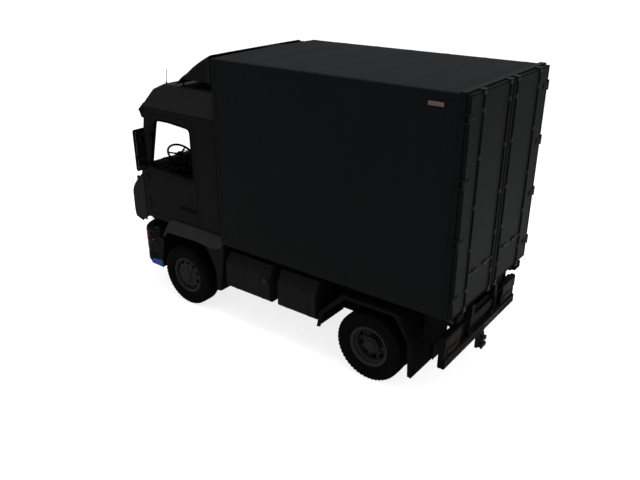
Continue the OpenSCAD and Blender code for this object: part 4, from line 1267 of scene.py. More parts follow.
grille_low, grille_high, grille_half = 1.475, 1.835, 0.62
for name, low, high, end in (("front_chin", 1.3, 1.4285, nose_y + 0.24), ("front_skin", 1.4315, 2.139, shell_y),
        ("screen_ledge", 2.141, 2.23, nose_y + 0.38)):
    bm = bmesh.new()
    levels = band(low, high)
    if name == "front_skin":
        levels = sorted(levels + band(grille_low, grille_high)[::len(band(grille_low, grille_high)) - 1],
            key=lambda level: level[1])
    add_grid(bm, [nose_row(depth, z, end) for depth, z in levels], skip=lambda p: name == "front_skin"
        and abs(p.x) < grille_half and p.y < nose_y + 0.2 and grille_low < p.z < grille_high)
    thicken(bm, 0.022)
    finish_piece(bm, name, cab_paint, 0.003, stands_for=("cab_front_panel",) if name == "front_skin"
        else (), body="cab")

bm = bmesh.new()
add_block(bm, (-grille_half - 0.1, nose_y + 0.07, grille_low - 0.04),
    (grille_half + 0.1, nose_y + 0.082, grille_high + 0.04))
for side in (-1, 1):
    add_block(bm, (side * (grille_half + 0.01) - 0.008, nose_y + 0.022, grille_low - 0.01),
        (side * (grille_half + 0.01) + 0.008, nose_y + 0.08, grille_high + 0.01))
slats = 7
for k in range(slats):
    z = grille_low + (k + 0.5) * (grille_high - grille_low) / slats
    add_prism(bm, ((nose_y + 0.012, z - 0.006), (nose_y + 0.02, z - 0.016), (nose_y + 0.075, z + 0.004),
        (nose_y + 0.075, z + 0.02), (nose_y + 0.016, z + 0.004)), -grille_half + 0.004, grille_half - 0.004)
for x in (-0.62, -0.21, 0.2, 0.61):
    add_block(bm, (x - 0.002, nose_y + 0.026, grille_low), (x + 0.012, nose_y + 0.075, grille_high))
add_block(bm, (-grille_half - 0.001, nose_y + 0.006, grille_low - 0.001),
    (grille_half + 0.001, nose_y + 0.078, grille_low + 0.016))
add_block(bm, (-grille_half - 0.001, nose_y + 0.008, grille_high - 0.016),
    (grille_half + 0.001, nose_y + 0.078, grille_high + 0.001))
for side in (-1, 1):
    add_block(bm, (side * (cab_half - 0.055), nose_y + 0.2, 1.44), (side * (cab_half - 0.02), shell_y - 0.004, 2.13))
finish_piece(bm, "grille", black_trim, 0.003, body="cab")


# ---- Windscreen and wipers ----
# Laminated glass, bowed across, bonded behind a black printed border. Two wipers park along the ledge.
def clear_glass(name, alpha):
    material, socket, point = new_material(name, Base_Color=(0.008, 0.01, 0.011, 1), Specular_IOR_Level=0.3)
    smear = point.noise(3.5, 5, 0.6).ramp((0.4, 0), (0.8, 1))
    feed(socket["Roughness"], 0.04 + smear * 0.08)
    feed(socket["Alpha"], alpha + smear * 0.02)
    return material


glass = clear_glass("window_glass", 0.02)
for word in ("left", "right"):
    dress(word + "_door_glass", glass)
screen_foot = Vector((0, nose_y + 0.352, 2.234))
screen_head = Vector((0, nose_y + 0.588, eaves_z - 0.004))
screen_half = cab_half - 0.052
screen_rise = (screen_head - screen_foot).normalized()
screen_out = Vector((0, -screen_rise.z, screen_rise.y))


def screen_point(x, share, proud=0.0):
    """A point on the outer face of the bowed glass."""
    bow = 0.028 * (1 - (x / screen_half) ** 2)
    return screen_foot.lerp(screen_head, share) + Vector((x, 0, 0)) + screen_out * (bow + proud)


across_screen = [screen_half * k / 10 for k in range(-10, 11)]
up_screen = [0, 0.03, 0.06, 0.2, 0.35, 0.5, 0.65, 0.8, 0.93, 0.965, 1.0]
bm = bmesh.new()
add_grid(bm, [[screen_point(x, share) for x in across_screen] for share in up_screen])
thicken(bm, 0.006)
finish_piece(bm, "curved_screen", glass, stands_for=("windscreen",), body="cab")
bm = bmesh.new()
add_grid(bm, [[screen_point(x, share, 0.0015) for x in across_screen] for share in up_screen],
    skip=lambda p: abs(p.x) < screen_half * 0.94 and screen_foot.z + 0.07 < p.z < screen_head.z - 0.08)
thicken(bm, 0.001)
finish_piece(bm, "screen_border", black_trim, body="cab")
bm = bmesh.new()
for pivot, reach in ((-0.72, 0.8), (0.12, 0.8)):
    foot = screen_point(pivot, 0.015, 0.02)
    add_turned(bm, [(0.018, -0.02), (0.018, 0.012), (0.012, 0.018), (0.001, 0.018)], foot, axis="z", steps=20)
    add_tube(bm,
        [foot, screen_point(pivot + 0.2 * reach, 0.06, 0.026), screen_point(pivot + 0.62 * reach, 0.095, 0.022)],
        0.008, 8)
    add_tube(bm, [screen_point(pivot + share * reach, 0.078 + 0.026 * share, 0.008)
        for share in (0.18, 0.4, 0.62, 0.84, 1.06)], 0.007, 8)
finish_piece(bm, "wipers", black_trim, body="cab")


# ---- Wind deflector ----
# A moulded hood with rounded shoulders and closed cheeks, on a tube frame that leaves air below it. A
# paler flexible collar runs down the rear edge of each cheek.
hood_half = cab_half - 0.02
cheek_z = roof_top + 0.138
crown_line = rounded(moved(nose_y, ((1.43, 0.05), (1.56, 0.165), (1.668, 0.252), (1.812, 0.357), (1.99, 0.46)),
    roof_top) + [(cab_rear - 0.07, box_top - 0.006)], 0.09, 5)
crown_y = crown_line[0][0]
hood_rows = []
for y, z in crown_line:
    share = min(1.0, (y - crown_y) / 0.13)
    foot = min(roof_top + 0.03 + share * 0.108, z - 0.012)
    bend = min(0.085, (z - foot) * 0.8)
    half = [(0, z), (0.35, z), (0.7, z - 0.001), (0.95, z - 0.003)]
    half += [(hood_half - bend + bend * sin(turn), z - 0.003 - bend + bend * cos(turn))
        for turn in (radians(18 * k) for k in range(6))]
    half += [(hood_half, (z - bend + foot) / 2), (hood_half, foot)]
    hood_rows.append([(-x, y, height) for x, height in reversed(half[1:])] + [(x, y, height) for x, height in half])
bm = bmesh.new()
add_grid(bm, hood_rows)
thicken(bm, 0.012)
finish_piece(bm, "deflector_hood", cab_paint, 0.003, stands_for=("roof_deflector",), body="cab")
bm = bmesh.new()
for side in (-1, 1):
    x = side * (hood_half - 0.115)
    rear_leg, front_leg = cab_rear - 0.13, crown_y + 0.055
    add_tube(bm, [(x, rear_leg, roof_top - 0.01), (x, rear_leg, box_top - 0.075)], 0.019, 12)
    add_tube(bm, [(x, front_leg, roof_top - 0.01), (x, front_leg, roof_top + 0.085)], 0.016, 12)
    add_tube(bm, [(x, rear_leg, roof_top + 0.28), (x, front_leg + 0.3, roof_top + 0.28)], 0.014, 12)
    for y in (rear_leg, front_leg):
        add_block(bm, (x - 0.05, y - 0.04, roof_top - 0.002), (x + 0.05, y + 0.04, roof_top + 0.008))
add_tube(bm, [(-hood_half + 0.115, rear_leg, roof_top + 0.4), (hood_half - 0.115, rear_leg, roof_top + 0.4)], 0.016, 12)
add_block(bm, (-hood_half + 0.05, crown_y + 0.03, roof_top - 0.001),
    (hood_half - 0.05, cab_rear - 0.06, roof_top + 0.012))
finish_piece(bm, "deflector_frame", black_trim, 0.0, body="cab")
collar_rubber = plastic("collar_rubber", (0.018, 0.018, 0.019), 0.6, 0.3, 0.04)
bm = bmesh.new()
for side in (-1, 1):
    add_prism(bm, ((cab_rear - 0.08, cheek_z), (cab_rear - 0.03, cheek_z), (cab_rear - 0.03, box_top - 0.03),
        (cab_rear - 0.08, box_top - 0.04)), side * (hood_half - 0.006), side * (hood_half + 0.004))
finish_piece(bm, "deflector_collars", collar_rubber, 0.004, body="cab")


# ---- Cab doors ----
# Each door skin carries a rubber window seal, a waist moulding and a long black handle in a shallow cup.
# The inner side has a moulded card with an armrest and a grab handle.
waist_z = 2.33
window_line = [(hinge_y + 0.09, waist_z + 0.06), (hinge_y + 0.3, 3.23), (hinge_y + 0.64, 3.24),
    (door_rear - 0.055, 3.195), (door_rear - 0.055, waist_z)]
cab_plastic = plastic("cab_plastic", (0.0062, 0.0062, 0.0066), 0.55, 0.35, 0.04)
trim_cloth = plastic("trim_cloth", (0.0115, 0.0115, 0.0125), 0.85, 0.6, 0.02)


def grown_outline(outline, grow):
    """The outline moved out from its middle by about the same distance all round."""
    centre = sum((Vector(point) for point in outline), Vector((0, 0))) / len(outline)
    return [tuple(Vector(point) + (Vector(point) - centre).normalized() * grow) for point in outline]


def add_frame_plate(bm, outer, inner, start, end):
    """A flat ring between two outlines with as many points each, drawn in the Y-Z plane."""
    start, end = sorted((start, end))
    rings = [[(x, y, z) for y, z in outline]
        for x, outline in ((start, outer), (end, outer), (end, inner), (start, inner), (start, outer))]
    made = add_ring_skin(bm, rings, capped=False)
    bmesh.ops.remove_doubles(bm, verts=made[0] + made[-1], dist=1e-6)


for side, word in ((1, "left"), (-1, "right")):
    body = word + "_cab_door"
    dress(body, cab_paint, 0.006, 3)
    bm = bmesh.new()
    outer = rounded(grown_outline(window_line, 0.022), 0.06, 5, closed=True)
    inner = rounded(grown_outline(window_line, -0.014), 0.08, 5, closed=True)
    for start, end in ((cab_half - 0.03, cab_half + 0.004), (cab_half - 0.056, cab_half - 0.048)):
        add_frame_plate(bm, outer, inner, side * start, side * end)
    finish_piece(bm, word + "_window_seal", tyre_rubber, 0.0015, body=body)

    bm = bmesh.new()
    for y0, z0, y1, z1 in ((0.02, 1.612, 0.02, 1.64), (0.03, 2.262, 0.01, 2.286)):
        add_side_block(bm, side, (cab_half - 0.001, hinge_y + y0, z0), (cab_half + 0.005, door_rear - y1, z1))
    cup = rounded_box(door_rear - 0.44, door_rear - 0.012, 1.742, 1.824, 0.03)
    well = rounded_box(door_rear - 0.428, door_rear - 0.024, 1.752, 1.814, 0.025)
    add_frame_plate(bm, cup, well, side * (cab_half - 0.001), side * (cab_half + 0.008))
    finish_piece(bm, word + "_door_mouldings", cab_paint, 0.002, body=body)
    bm = bmesh.new()
    add_prism(bm, well, side * (cab_half - 0.001), side * (cab_half + 0.001))
    grip = rounded([(door_rear - 0.4, 1.768), (door_rear - 0.06, 1.768), (door_rear - 0.06, 1.798),
        (door_rear - 0.4, 1.798)], 0.014, 3, closed=True)
    add_prism(bm, grip, side * (cab_half + 0.008), side * (cab_half + 0.018))
    for y in (door_rear - 0.385, door_rear - 0.095):
        add_side_block(bm, side, (cab_half, y, 1.774), (cab_half + 0.012, y + 0.03, 1.792))
    add_turned(bm, [(0.011, 0.0), (0.011, side * 0.006), (0.001, side * 0.007)],
        (side * cab_half, door_rear - 0.036, 1.7), axis="x", steps=20)
    finish_piece(bm, word + "_door_handle", black_trim, 0.003, segments=3, body=body)

    bm = bmesh.new()
    card = cab_half - 0.05
    for x0, y0, z0, x1, y1, z1 in ((0.012, 0.42, 1.58, -0.001, 0.05, 2.29), (0.06, 0.52, 2.08, 0.005, 0.16, 2.14),
            (0.045, 0.45, 1.62, 0.006, 0.3, 1.78)):
        add_side_block(bm, side, (card - x0, hinge_y + y0, z0), (card - x1, door_rear - y1, z1))
    add_tube(bm, [(side * (card - 0.008), hinge_y + 0.5, 2.2), (side * (card - 0.05), hinge_y + 0.53, 2.21),
        (side * (card - 0.05), hinge_y + 0.72, 2.21), (side * (card - 0.008), hinge_y + 0.75, 2.2)], 0.012, 10)
    finish_piece(bm, word + "_door_card", cab_plastic, 0.012, segments=3, body=body)


# ---- Mirrors ----
# Tall rear-view heads in black shells stand out on two tube arms from feet on the door, each with a main
# glass above a wide-angle one.
silver, silver_socket, silver_point = new_material("mirror_silver", Base_Color=(0.62, 0.65, 0.67, 1), Metallic=1.0)
feed(silver_socket["Roughness"], 0.03 + silver_point.noise(12, 3) * 0.05)
head_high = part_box("left_mirror")[1]
head_in = cab_half + 0.062
head_y = (hinge_y + 0.035, hinge_y + 0.113)
for side, word in ((1, "left"), (-1, "right")):
    body = word + "_cab_door"
    bm = bmesh.new()
    low_z, high_z = head_high.z - 0.72, head_high.z
    add_hull(bm,
        [(side * x, y, z) for x, y, z in [(x, head_y[1], z) for x in (head_in, head_high.x) for z in (low_z, high_z)]
        + [(x, head_y[0] + 0.03, z) for x in (head_in, head_high.x) for z in (low_z + 0.01, high_z - 0.01)]
        + [(x, head_y[0], z) for x in (head_in + 0.05, head_high.x - 0.05) for z in (low_z + 0.06, high_z - 0.06)]])
    merge_flat(bm)
    finish_piece(bm, word + "_mirror_shell", black_trim, 0.022, segments=5,
        stands_for=(word + "_mirror",), body=body)
    bm = bmesh.new()
    for z0, z1 in ((low_z + 0.03, low_z + 0.215), (low_z + 0.24, high_z - 0.03)):
        pane = rounded_box(head_in + 0.022, head_high.x - 0.022, z0, z1, 0.03)
        add_prism(bm, [(side * x, z) for x, z in pane], head_y[1] - 0.004, head_y[1] + 0.0015, across="y")
    finish_piece(bm, word + "_mirror_glass", silver, 0.001, body=body)
    bm = bmesh.new()
    for z, foot_y in ((2.4375, hinge_y + 0.071), (2.9675, hinge_y + 0.1985)):
        add_tube(bm,
            [(side * x, y, z)
            for x,
            y in rounded([(cab_half + 0.012, foot_y), (cab_half + 0.045, foot_y),
            (head_in + 0.05, head_y[0] + 0.045)], 0.02)], 0.013, 12)
        add_block(bm, (side * (cab_half - 0.001), foot_y - 0.024, z - 0.04),
            (side * (cab_half + 0.019), foot_y + 0.024, z + 0.04))
        for dz in (-0.028, 0.028):
            add_bolt(bm, (side * (cab_half + 0.019), foot_y, z + dz), (side, 0, 0), 0.016, 0.006)
    finish_piece(bm, word + "_mirror_arms", black_trim, 0.003, body=body)

# ---- Front bumper and lamps ----
# Three moulded bands wrap the nose: a black lower lip, a painted middle that holds the headlamps, and a
# grey step band on top. Turn lamps sit at the corners, blue side markers at the lower ends.
bumper_low, bumper_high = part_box("front_bumper")
bumper_half = bumper_high.x
bumper_y = bumper_low.y
bumper_foot = bumper_low.z
bumper_plan = rounded([(0, 0), (0.7, 0.012), (1.06, 0.13), (bumper_half, 0.33), (bumper_half, 0.56)], 0.16, 6)
bumper_plan = bumper_plan[:1] + [(0.25, 0.004), (0.45, 0.008)] + bumper_plan[1:]
bumper_plan[-1:-1] = [(bumper_half, 0.46)]
lamp_low, lamp_high = 0.765, 0.945


def bumper_row(z, inset):
    half = [(x * (1 - inset / bumper_half), bumper_y + back + inset, z) for x, back in bumper_plan]
    return [(-x, y, z) for x, y, z in reversed(half[1:])] + half


step_grey = plastic("step_grey", (0.011, 0.0112, 0.0118), 0.5, 0.3, 0.03, dust=0.2)
lip_black = plastic("lip_black", (0.0055, 0.0055, 0.0057), 0.5, 0.3, 0.03, dust=0.2)
bands = (("bumper_lip", lip_black, "black_plastic",
    ((0.000, 0.05), (0.016, 0.016), (0.045, 0.0), (0.12, 0.0), (0.21, 0.004), (0.235, 0.01))),
    ("bumper_middle", cab_paint, "cab_paint", ((0.24, 0.01), (0.248, 0.0), (0.27, 0.0), (0.3, 0.0), (0.45, 0.0),
    (0.478, 0.0), (0.488, 0.012))),
    ("bumper_step", step_grey, "black_plastic",
    ((0.492, 0.012), (0.5, 0.0), (0.6, 0.0), (0.665, 0.004), (0.685, 0.018), (0.695, 0.06), (0.692, 0.1))))
for name, finish, slot, rows in bands:
    bm = bmesh.new()
    add_grid(bm, [bumper_row(bumper_foot + rise, inset) for rise, inset in rows],
        skip=lambda p: name == "bumper_middle" and 0.64 < abs(p.x) < 1.085 and lamp_low < p.z < lamp_high)
    thicken(bm, 0.01)
    finish_piece(bm, name, finish, 0.002, stands_for=("front_bumper",) if name == "bumper_lip" else ())
housings, reflectors, covers, ambers, blues, returns, treads = (bmesh.new() for _ in range(7))
add_grid(housings, [bumper_row(z, 0.075) for z in (lamp_low - 0.03, lamp_low, lamp_high, lamp_high + 0.03)],
    skip=lambda p: not 0.54 < abs(p.x) < 1.12)
for z in (lamp_low - 0.004, lamp_high + 0.004):
    add_grid(housings, [bumper_row(z, 0.075), bumper_row(z, 0.003)], skip=lambda p: not 0.56 < abs(p.x) < 1.12)
add_grid(housings, [bumper_row(z, 0.095) for z in (bumper_foot + 0.03, 0.8, bumper_high.z - 0.15)])
thicken(housings, 0.003)
add_grid(covers, [bumper_row(z, 0.003) for z in (lamp_low - 0.008, lamp_low, lamp_high, lamp_high + 0.008)],
    skip=lambda p: not 0.62 < abs(p.x) < 1.1)
thicken(covers, 0.003)
for side in (-1, 1):
    for x, back, radius in ((0.745, 0.085, 0.062), (0.885, 0.12, 0.062), (0.99, 0.165, 0.042)):
        centre = Vector((side * x, bumper_y + back, (lamp_low + lamp_high) / 2))
        add_turned(reflectors,
            [(radius, -0.03), (radius * 0.9, -0.01), (radius * 0.66, 0.012), (radius * 0.34, 0.022), (0.001, 0.024)],
            centre, axis="y", steps=32)
        add_turned(reflectors, [(radius * 0.3, 0.0), (radius * 0.26, -0.016), (radius * 0.12, -0.024),
            (0.001, -0.026)], centre, axis="y", steps=24)
    add_block(ambers, (side * (bumper_half - 0.006), bumper_y + 0.375, 0.8),
        (side * (bumper_half + 0.004), bumper_y + 0.475, 0.9))
    add_prism(blues, moved(bumper_y, ((0.362, 0.548), (0.42, 0.612), (0.65, 0.636), (0.68, 0.505), (0.375, 0.505))),
        side * (bumper_half - 0.006), side * (bumper_half + 0.004))
    add_prism(returns,
        moved(bumper_y, ((0.558, bumper_foot + 0.002), (0.683, bumper_foot + 0.002), (0.683, 0.7), (0.745, 0.92),
        (0.745, 1.085), (0.558, 1.085))), side * (bumper_half - 0.014), side * bumper_half)
    for k in range(5):
        z = 1.03 + k * 0.02
        add_block(treads, (side * (bumper_half - 0.006), bumper_y + 0.36, z),
            (side * (bumper_half + 0.004), bumper_y + 0.54, z + 0.009))
    for x0 in (0.1, 0.5):
        for k in range(5):
            y = bumper_y + 0.066 + k * 0.016
            add_block(treads, (side * x0, y - 0.05, bumper_high.z - 0.006),
                (side * (x0 + 0.3), y - 0.042, bumper_high.z))
    add_block(treads, (side * (rail_x - 0.06), bumper_y + 0.01, rail_low.z + 0.02),
        (side * rail_x, rail_low.y - 0.001, rail_high.z - 0.06))
chrome, chrome_socket, chrome_point = new_material("lamp_reflector", Base_Color=(0.3, 0.31, 0.32, 1), Metallic=1.0)
feed(chrome_socket["Roughness"], 0.1 + chrome_point.noise(30, 3) * 0.1)
blue_lens = lens("blue_lens", (0.05, 0.125, 0.44))
for bm, name, finish, slot, edge, segments in ((housings, "lamp_housings", black_trim, "black_plastic", 0, 2),
        (reflectors, "lamp_reflectors", chrome, "glazing", 0, 2), (covers, "lamp_covers", glass, "glazing", 0, 2),
        (ambers, "corner_turn_lamps", amber_lens, "lamp_red", 0.004, 3),
        (blues, "blue_side_markers", blue_lens, "lamp_red", 0.003, 2),
        (returns, "bumper_returns", step_grey, "black_plastic", 0.004, 2),
        (treads, "step_treads", lip_black, "black_plastic", 0.0015, 2)):
    finish_piece(bm, name, finish, edge, segments=segments)
bm = bmesh.new()
marker_plan = [(x, back) for x, back in bumper_plan if x > 1.125 and back < 0.42]
for side, strip in ((side, strip) for side in (-1, 1) for strip in ((1.0, 1.155), (0.945, 0.975))):
    add_grid(bm, [[(side * (x + 0.003), bumper_y + back - 0.002, z) for x, back in marker_plan] for z in strip])
thicken(bm, 0.003)
finish_piece(bm, "red_corner_strips", lens("corner_red", (0.115, 0.006, 0.014)))

# Corner deflectors in the lighter cab copy: painted light on these forward and upward facing corner panels.
bm = bmesh.new()
corner_rows = band(1.345, 2.215)
add_grid(bm, [[(x * 1.008, y - 0.012, z) for x, y, z in nose_row(depth, z, nose_y + 0.42)]
    for depth, z in corner_rows], skip=lambda p: abs(p.x) < 1.03 or p.y > nose_y + 0.47)
thicken(bm, 0.005)
finish_piece(bm, "corner_deflectors", cab_lit_paint, 0.002, body="cab")


# ---- Front mudguards ----
# Moulded arches: a flared grey lip that turns up towards the sky, a long rear leg beside the tank, and a
# ribbed black liner over the tyre. Splash shields and the radiator close the space between the rails.
arch_outer = ((-0.528, 1.196), (-0.45, 1.33), (-0.362, 1.464), (-0.3, 1.506), (0.0, 1.508), (0.4, 1.508), (0.88, 1.5),
    (0.94, 1.462), (0.952, 1.4))
arch_inner = ((-0.48, 1.18), (-0.455, 1.215), (-0.42, 1.262), (-0.38, 1.29), (0.0, 1.3), (0.35, 1.31), (0.706, 1.268),
    (0.88, 1.318), (0.94, 1.352))
arch_leg = ((0.505, 1.29), (0.56, 1.205), (0.7, 0.99), (0.751, 0.854), (0.744, 0.509), (0.814, 0.494), (0.882, 0.743),
    (0.934, 1.093), (0.952, 1.32), (0.94, 1.42), (0.6, 1.4))
arch_liner = ((-0.528, 1.196), (-0.4, 1.385), (0.88, 1.385), (0.945, 1.31), (0.934, 1.093), (0.882, 0.743),
    (0.814, 0.494), (0.779, 0.494), (0.847, 0.75), (0.899, 1.095), (0.908, 1.295), (0.862, 1.35), (-0.382, 1.35),
    (-0.495, 1.18))
arch_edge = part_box("front_mudguards")[1].x
liner_in = 0.64
arch_grey = plastic("arch_grey", (0.033, 0.033, 0.035), 0.48, 0.3, 0.03)


def arch_loop(share, x):
    """A line between the arch's outer and inner outlines, at one distance from the middle of the truck."""
    outer, inner = rounded(arch_outer, 0.05, 3), rounded(arch_inner, 0.05, 3)
    return [(x, front_y + a[0] + (b[0] - a[0]) * share, a[1] + (b[1] - a[1]) * share) for a, b in zip(outer, inner)]


lips, legs, liners, shields = (bmesh.new() for _ in range(4))
for side in (-1, 1):
    add_grid(lips,
        [arch_loop(share, side * x)
        for share, x in ((0, cab_half + 0.006), (0.02, cab_half + 0.03), (0.1, cab_half + 0.048),
        (0.72, arch_edge - 0.002), (0.94, arch_edge), (1.0, arch_edge - 0.006), (1.0, arch_edge - 0.04))])
    add_prism(legs, moved(front_y, rounded(arch_leg, 0.05, 3, closed=True)), side * (cab_half + 0.03),
        side * (arch_edge - 0.022))
    add_prism(liners, moved(front_y, arch_liner), side * liner_in, side * (cab_half + 0.04))
    add_prism(liners,
        moved(front_y, ((-0.4, 1.384), (-0.335, 1.46), (-0.3, 1.5), (0.88, 1.5), (0.94, 1.43), (0.94, 1.384))),
        side * (cab_half + 0.01), side * (cab_half + 0.034))
    for k in range(9):
        x = side * (liner_in + 0.04 + k * 0.062)
        add_block(liners, (x - 0.01, front_y - 0.38, 1.34), (x + 0.01, front_y + 0.86, 1.352))
    add_block(liners, (side * rail_x, front_y + 0.82, rail_low.z + 0.05),
        (side * 0.68, front_y + 0.88, rail_low.z + 0.11))
    for y0, z0, y1 in ((-0.76, 0.62, -0.5), (-0.501, 0.7, -0.13), (-0.131, 0.86, 0.84)):
        add_side_block(shields, side, (0.524, front_y + y0, z0), (0.532, front_y + y1, 1.385))
    add_block(shields, (side * 0.532, bumper_y + 0.575, 0.5), (side * (bumper_half - 0.012), front_y - 0.665, 1.3))
thicken(lips, 0.008)
finish_piece(lips, "front_arch_lips", arch_grey, 0.0015, stands_for=("front_mudguards",))
finish_piece(legs, "front_arch_legs", step_grey, 0.012, segments=3)
finish_piece(liners, "front_arch_liners", guard_plastic, 0.004)
finish_piece(shields, "splash_shields", guard_plastic, 0.004)
bm = bmesh.new()
radiator_y = engine_low.y - 0.34
add_block(bm, (-0.335, radiator_y, 0.7), (0.335, radiator_y + 0.09, 1.395))
for k in range(26):
    x = -0.31 + k * 0.0245
    add_block(bm, (x, radiator_y - 0.012, 0.74), (x + 0.006, radiator_y + 0.001, 1.36))
add_turned(bm, [(0.3, 0.1), (0.3, 0.2), (0.285, 0.2), (0.285, 0.115), (0.05, 0.115), (0.05, 0.16), (0.001, 0.165),
    (0.001, 0.1)], (0, radiator_y, 1.04), axis="y", steps=40)
finish_piece(bm, "radiator", iron, 0.002)

# ---- Dashboard and steering wheel ----
# A full-width moulded dashboard with a hooded cluster, vents and a centre stack, and a leather-rimmed
# three-spoke wheel on a raked column.
dress("dashboard", cab_plastic, 0.018, 3)
wheel_centre = Vector((0.56, hinge_y + 0.205, 2.485))
wheel_rake = Matrix.Translation(wheel_centre) @ Matrix.Rotation(radians(-35), 4, "X")
bm = bmesh.new()
hood = rounded(moved(shell_y, ((-0.035, 2.3), (-0.035, 2.405), (0.06, 2.44), (0.19, 2.43), (0.285, 2.38),
    (0.275, 2.34))), 0.03, 4, closed=True)
add_prism(bm, hood, -cab_half + 0.075, cab_half - 0.075)
cluster = rounded(moved(shell_y, ((0.12, 2.41), (0.15, 2.452), (0.235, 2.452), (0.275, 2.395), (0.24, 2.36))), 0.015,
    3, closed=True)
add_prism(bm, cluster, 0.36, 0.76)
add_block(bm, (-0.16, shell_y + 0.28, 1.98), (0.16, shell_y + 0.412, 2.28))
for x in (-0.98, -0.66, 0.18, 0.9):
    for k in range(5):
        add_block(bm, (x, shell_y + 0.36, 2.215 + k * 0.016), (x + 0.14, shell_y + 0.402, 2.222 + k * 0.016))
for k in range(6):
    add_block(bm, (-0.135 + k * 0.047, shell_y + 0.405, 2.13), (-0.1 + k * 0.047, shell_y + 0.42, 2.16))
add_block(bm, (-0.13, shell_y + 0.405, 2.175), (0.13, shell_y + 0.418, 2.27))
finish_piece(bm, "dash_hood_and_stack", cab_plastic, 0.006, segments=3, body="cab")

leather = plastic("wheel_leather", (0.0045, 0.0044, 0.0043), 0.5, 0.5, 0.05)
bm = bmesh.new()
rim_radius, rim_grip = 0.232, 0.019
add_turned(bm, [(rim_radius + rim_grip * cos(turn), rim_grip * sin(turn))
    for turn in (2 * pi * k / 14 for k in range(14))], (0, 0, 0), axis="z", steps=72, looped=True)
add_turned(bm, [(0.001, -0.2), (0.016, -0.2), (0.016, -0.045), (0.03, -0.032), (0.056, -0.024), (0.066, -0.01),
    (0.068, 0.004), (0.06, 0.016), (0.034, 0.021), (0.001, 0.022)], (0, 0, 0), axis="z", steps=40)
for turn in (radians(a) for a in (90, 210, 330)):
    along = Vector((cos(turn), sin(turn), 0))
    side_way = Vector((-along.y, along.x, 0))
    add_ring_skin(bm,
        [[along * reach + side_way * s * wide + Vector((0, 0, lift + thick * t))
        for s, t in ((-1, 0), (1, 0), (1, 1), (-1, 1))]
        for reach, wide, lift, thick in ((0.04, 0.026, -0.014, 0.022), (0.11, 0.017, -0.009, 0.013),
        (0.228, 0.016, -0.006, 0.012))])
bmesh.ops.transform(bm, matrix=wheel_rake, verts=bm.verts)
finish_piece(bm, "wheel_rim_and_spokes", leather, 0.003, stands_for=("steering_wheel",),
    body="steering_wheel")
bm = bmesh.new()
for side in (-1, 1):
    add_tube(bm, [(side * 0.03, 0, -0.075), (side * 0.1, 0.005, -0.07), (side * 0.15, 0.01, -0.062)], 0.007, 8)
    add_tube(bm, [(side * 0.15, 0.01, -0.062), (side * 0.18, 0.012, -0.06)], 0.01, 8)
bmesh.ops.transform(bm, matrix=wheel_rake, verts=bm.verts)
cab_floor_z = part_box("cab_floor")[1].z
gear_foot = Vector((0.13, hinge_y + 0.62, cab_floor_z))
add_block(bm, (-0.02, hinge_y + 0.45, cab_floor_z), (0.26, hinge_y + 0.8, cab_floor_z + 0.11))
add_tube(bm, [gear_foot + Vector((0, 0, 0.1)), gear_foot + Vector((0.0, 0.01, 0.32)),
    gear_foot + Vector((-0.01, 0.03, 0.46))], 0.01, 10)
add_turned(bm, [(0.001, -0.03), (0.02, -0.026), (0.026, 0.0), (0.024, 0.02), (0.012, 0.03), (0.001, 0.032)],
    gear_foot + Vector((-0.01, 0.03, 0.48)), axis="z", steps=24)
for x in (0.42, 0.56, 0.68):
    add_block(bm, (x, hinge_y + 0.13, cab_floor_z + 0.1), (x + 0.065, hinge_y + 0.145, cab_floor_z + 0.2))
    add_tube(bm, [(x + 0.032, hinge_y + 0.135, cab_floor_z + 0.15), (x + 0.032, hinge_y + 0.02, cab_floor_z + 0.3)],
        0.008, 8)
finish_piece(bm, "stalks_lever_and_pedals", black_trim, 0.003, body="cab")


# ---- Cab lining ----
# Grey cloth on the back wall and roof over moulded panels, a shelf above the screen, and a ribbed rubber
# mat on the floor.
bm = bmesh.new()
inner_half = cab_half - 0.052
cab_wall_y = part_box("cab_rear_wall")[0].y
add_block(bm, (-inner_half, cab_wall_y - 0.014, cab_floor_z + 0.02), (inner_half, cab_wall_y + 0.001, 3.36))
add_block(bm, (-0.92, cab_wall_y - 0.05, 2.62), (0.92, cab_wall_y - 0.012, 3.12))
add_block(bm, (-inner_half, shell_y + 0.18, eaves_z - 0.045), (inner_half, cab_wall_y, eaves_z - 0.02))
finish_piece(bm, "cab_lining", trim_cloth, 0.012, segments=3, body="cab")
bm = bmesh.new()
add_block(bm, (-inner_half + 0.01, shell_y + 0.02, cab_floor_z - 0.001),
    (inner_half - 0.01, cab_wall_y - 0.02, cab_floor_z + 0.01))
for k in range(34):
    x = -inner_half + 0.05 + k * 0.063
    add_block(bm, (x, shell_y + 0.05, cab_floor_z + 0.008), (x + 0.012, cab_wall_y - 0.05, cab_floor_z + 0.014))
finish_piece(bm, "floor_mat", tyre_rubber, 0.0015, body="cab")


# ---- Seats ----
# Two suspension seats: a foam cushion and a tall back, each covered in woven cloth that swells between
# its sewn seams, on a boxed base with a rubber bellows.
def woven(name, colour):
    """Flat-woven seat cloth: crossing threads, slightly worn where it is sat on."""
    material, socket, point = new_material(name, Specular_IOR_Level=0.04, Sheen_Weight=0.15, Sheen_Roughness=0.5)
    warp = point.math("SINE", (point.axis("X")) * 2100)
    weft = point.math("SINE", (point.axis("Y") + point.axis("Z")) * 2100)
    worn = point.noise(7, 4).ramp((0.4, 0), (0.75, 1))
    thread = (warp * weft) * 0.5 + 0.5
    body = worn.mix(shade(colour, 0.85), shade(colour, 1.25))
    feed(socket["Base Color"], (thread * 0.5).mix(body, shade(colour, 1.7)))
    feed(socket["Roughness"], 0.78 + worn * 0.12)
    feed(socket["Normal"], bump(warp * weft, 0.35, 0.0008))
    return material


seat_cloth = woven("seat_cloth", (0.0135, 0.0135, 0.015))
seat_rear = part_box("seats")[1].y + 0.06
seat_places = (-0.56, 0.56)


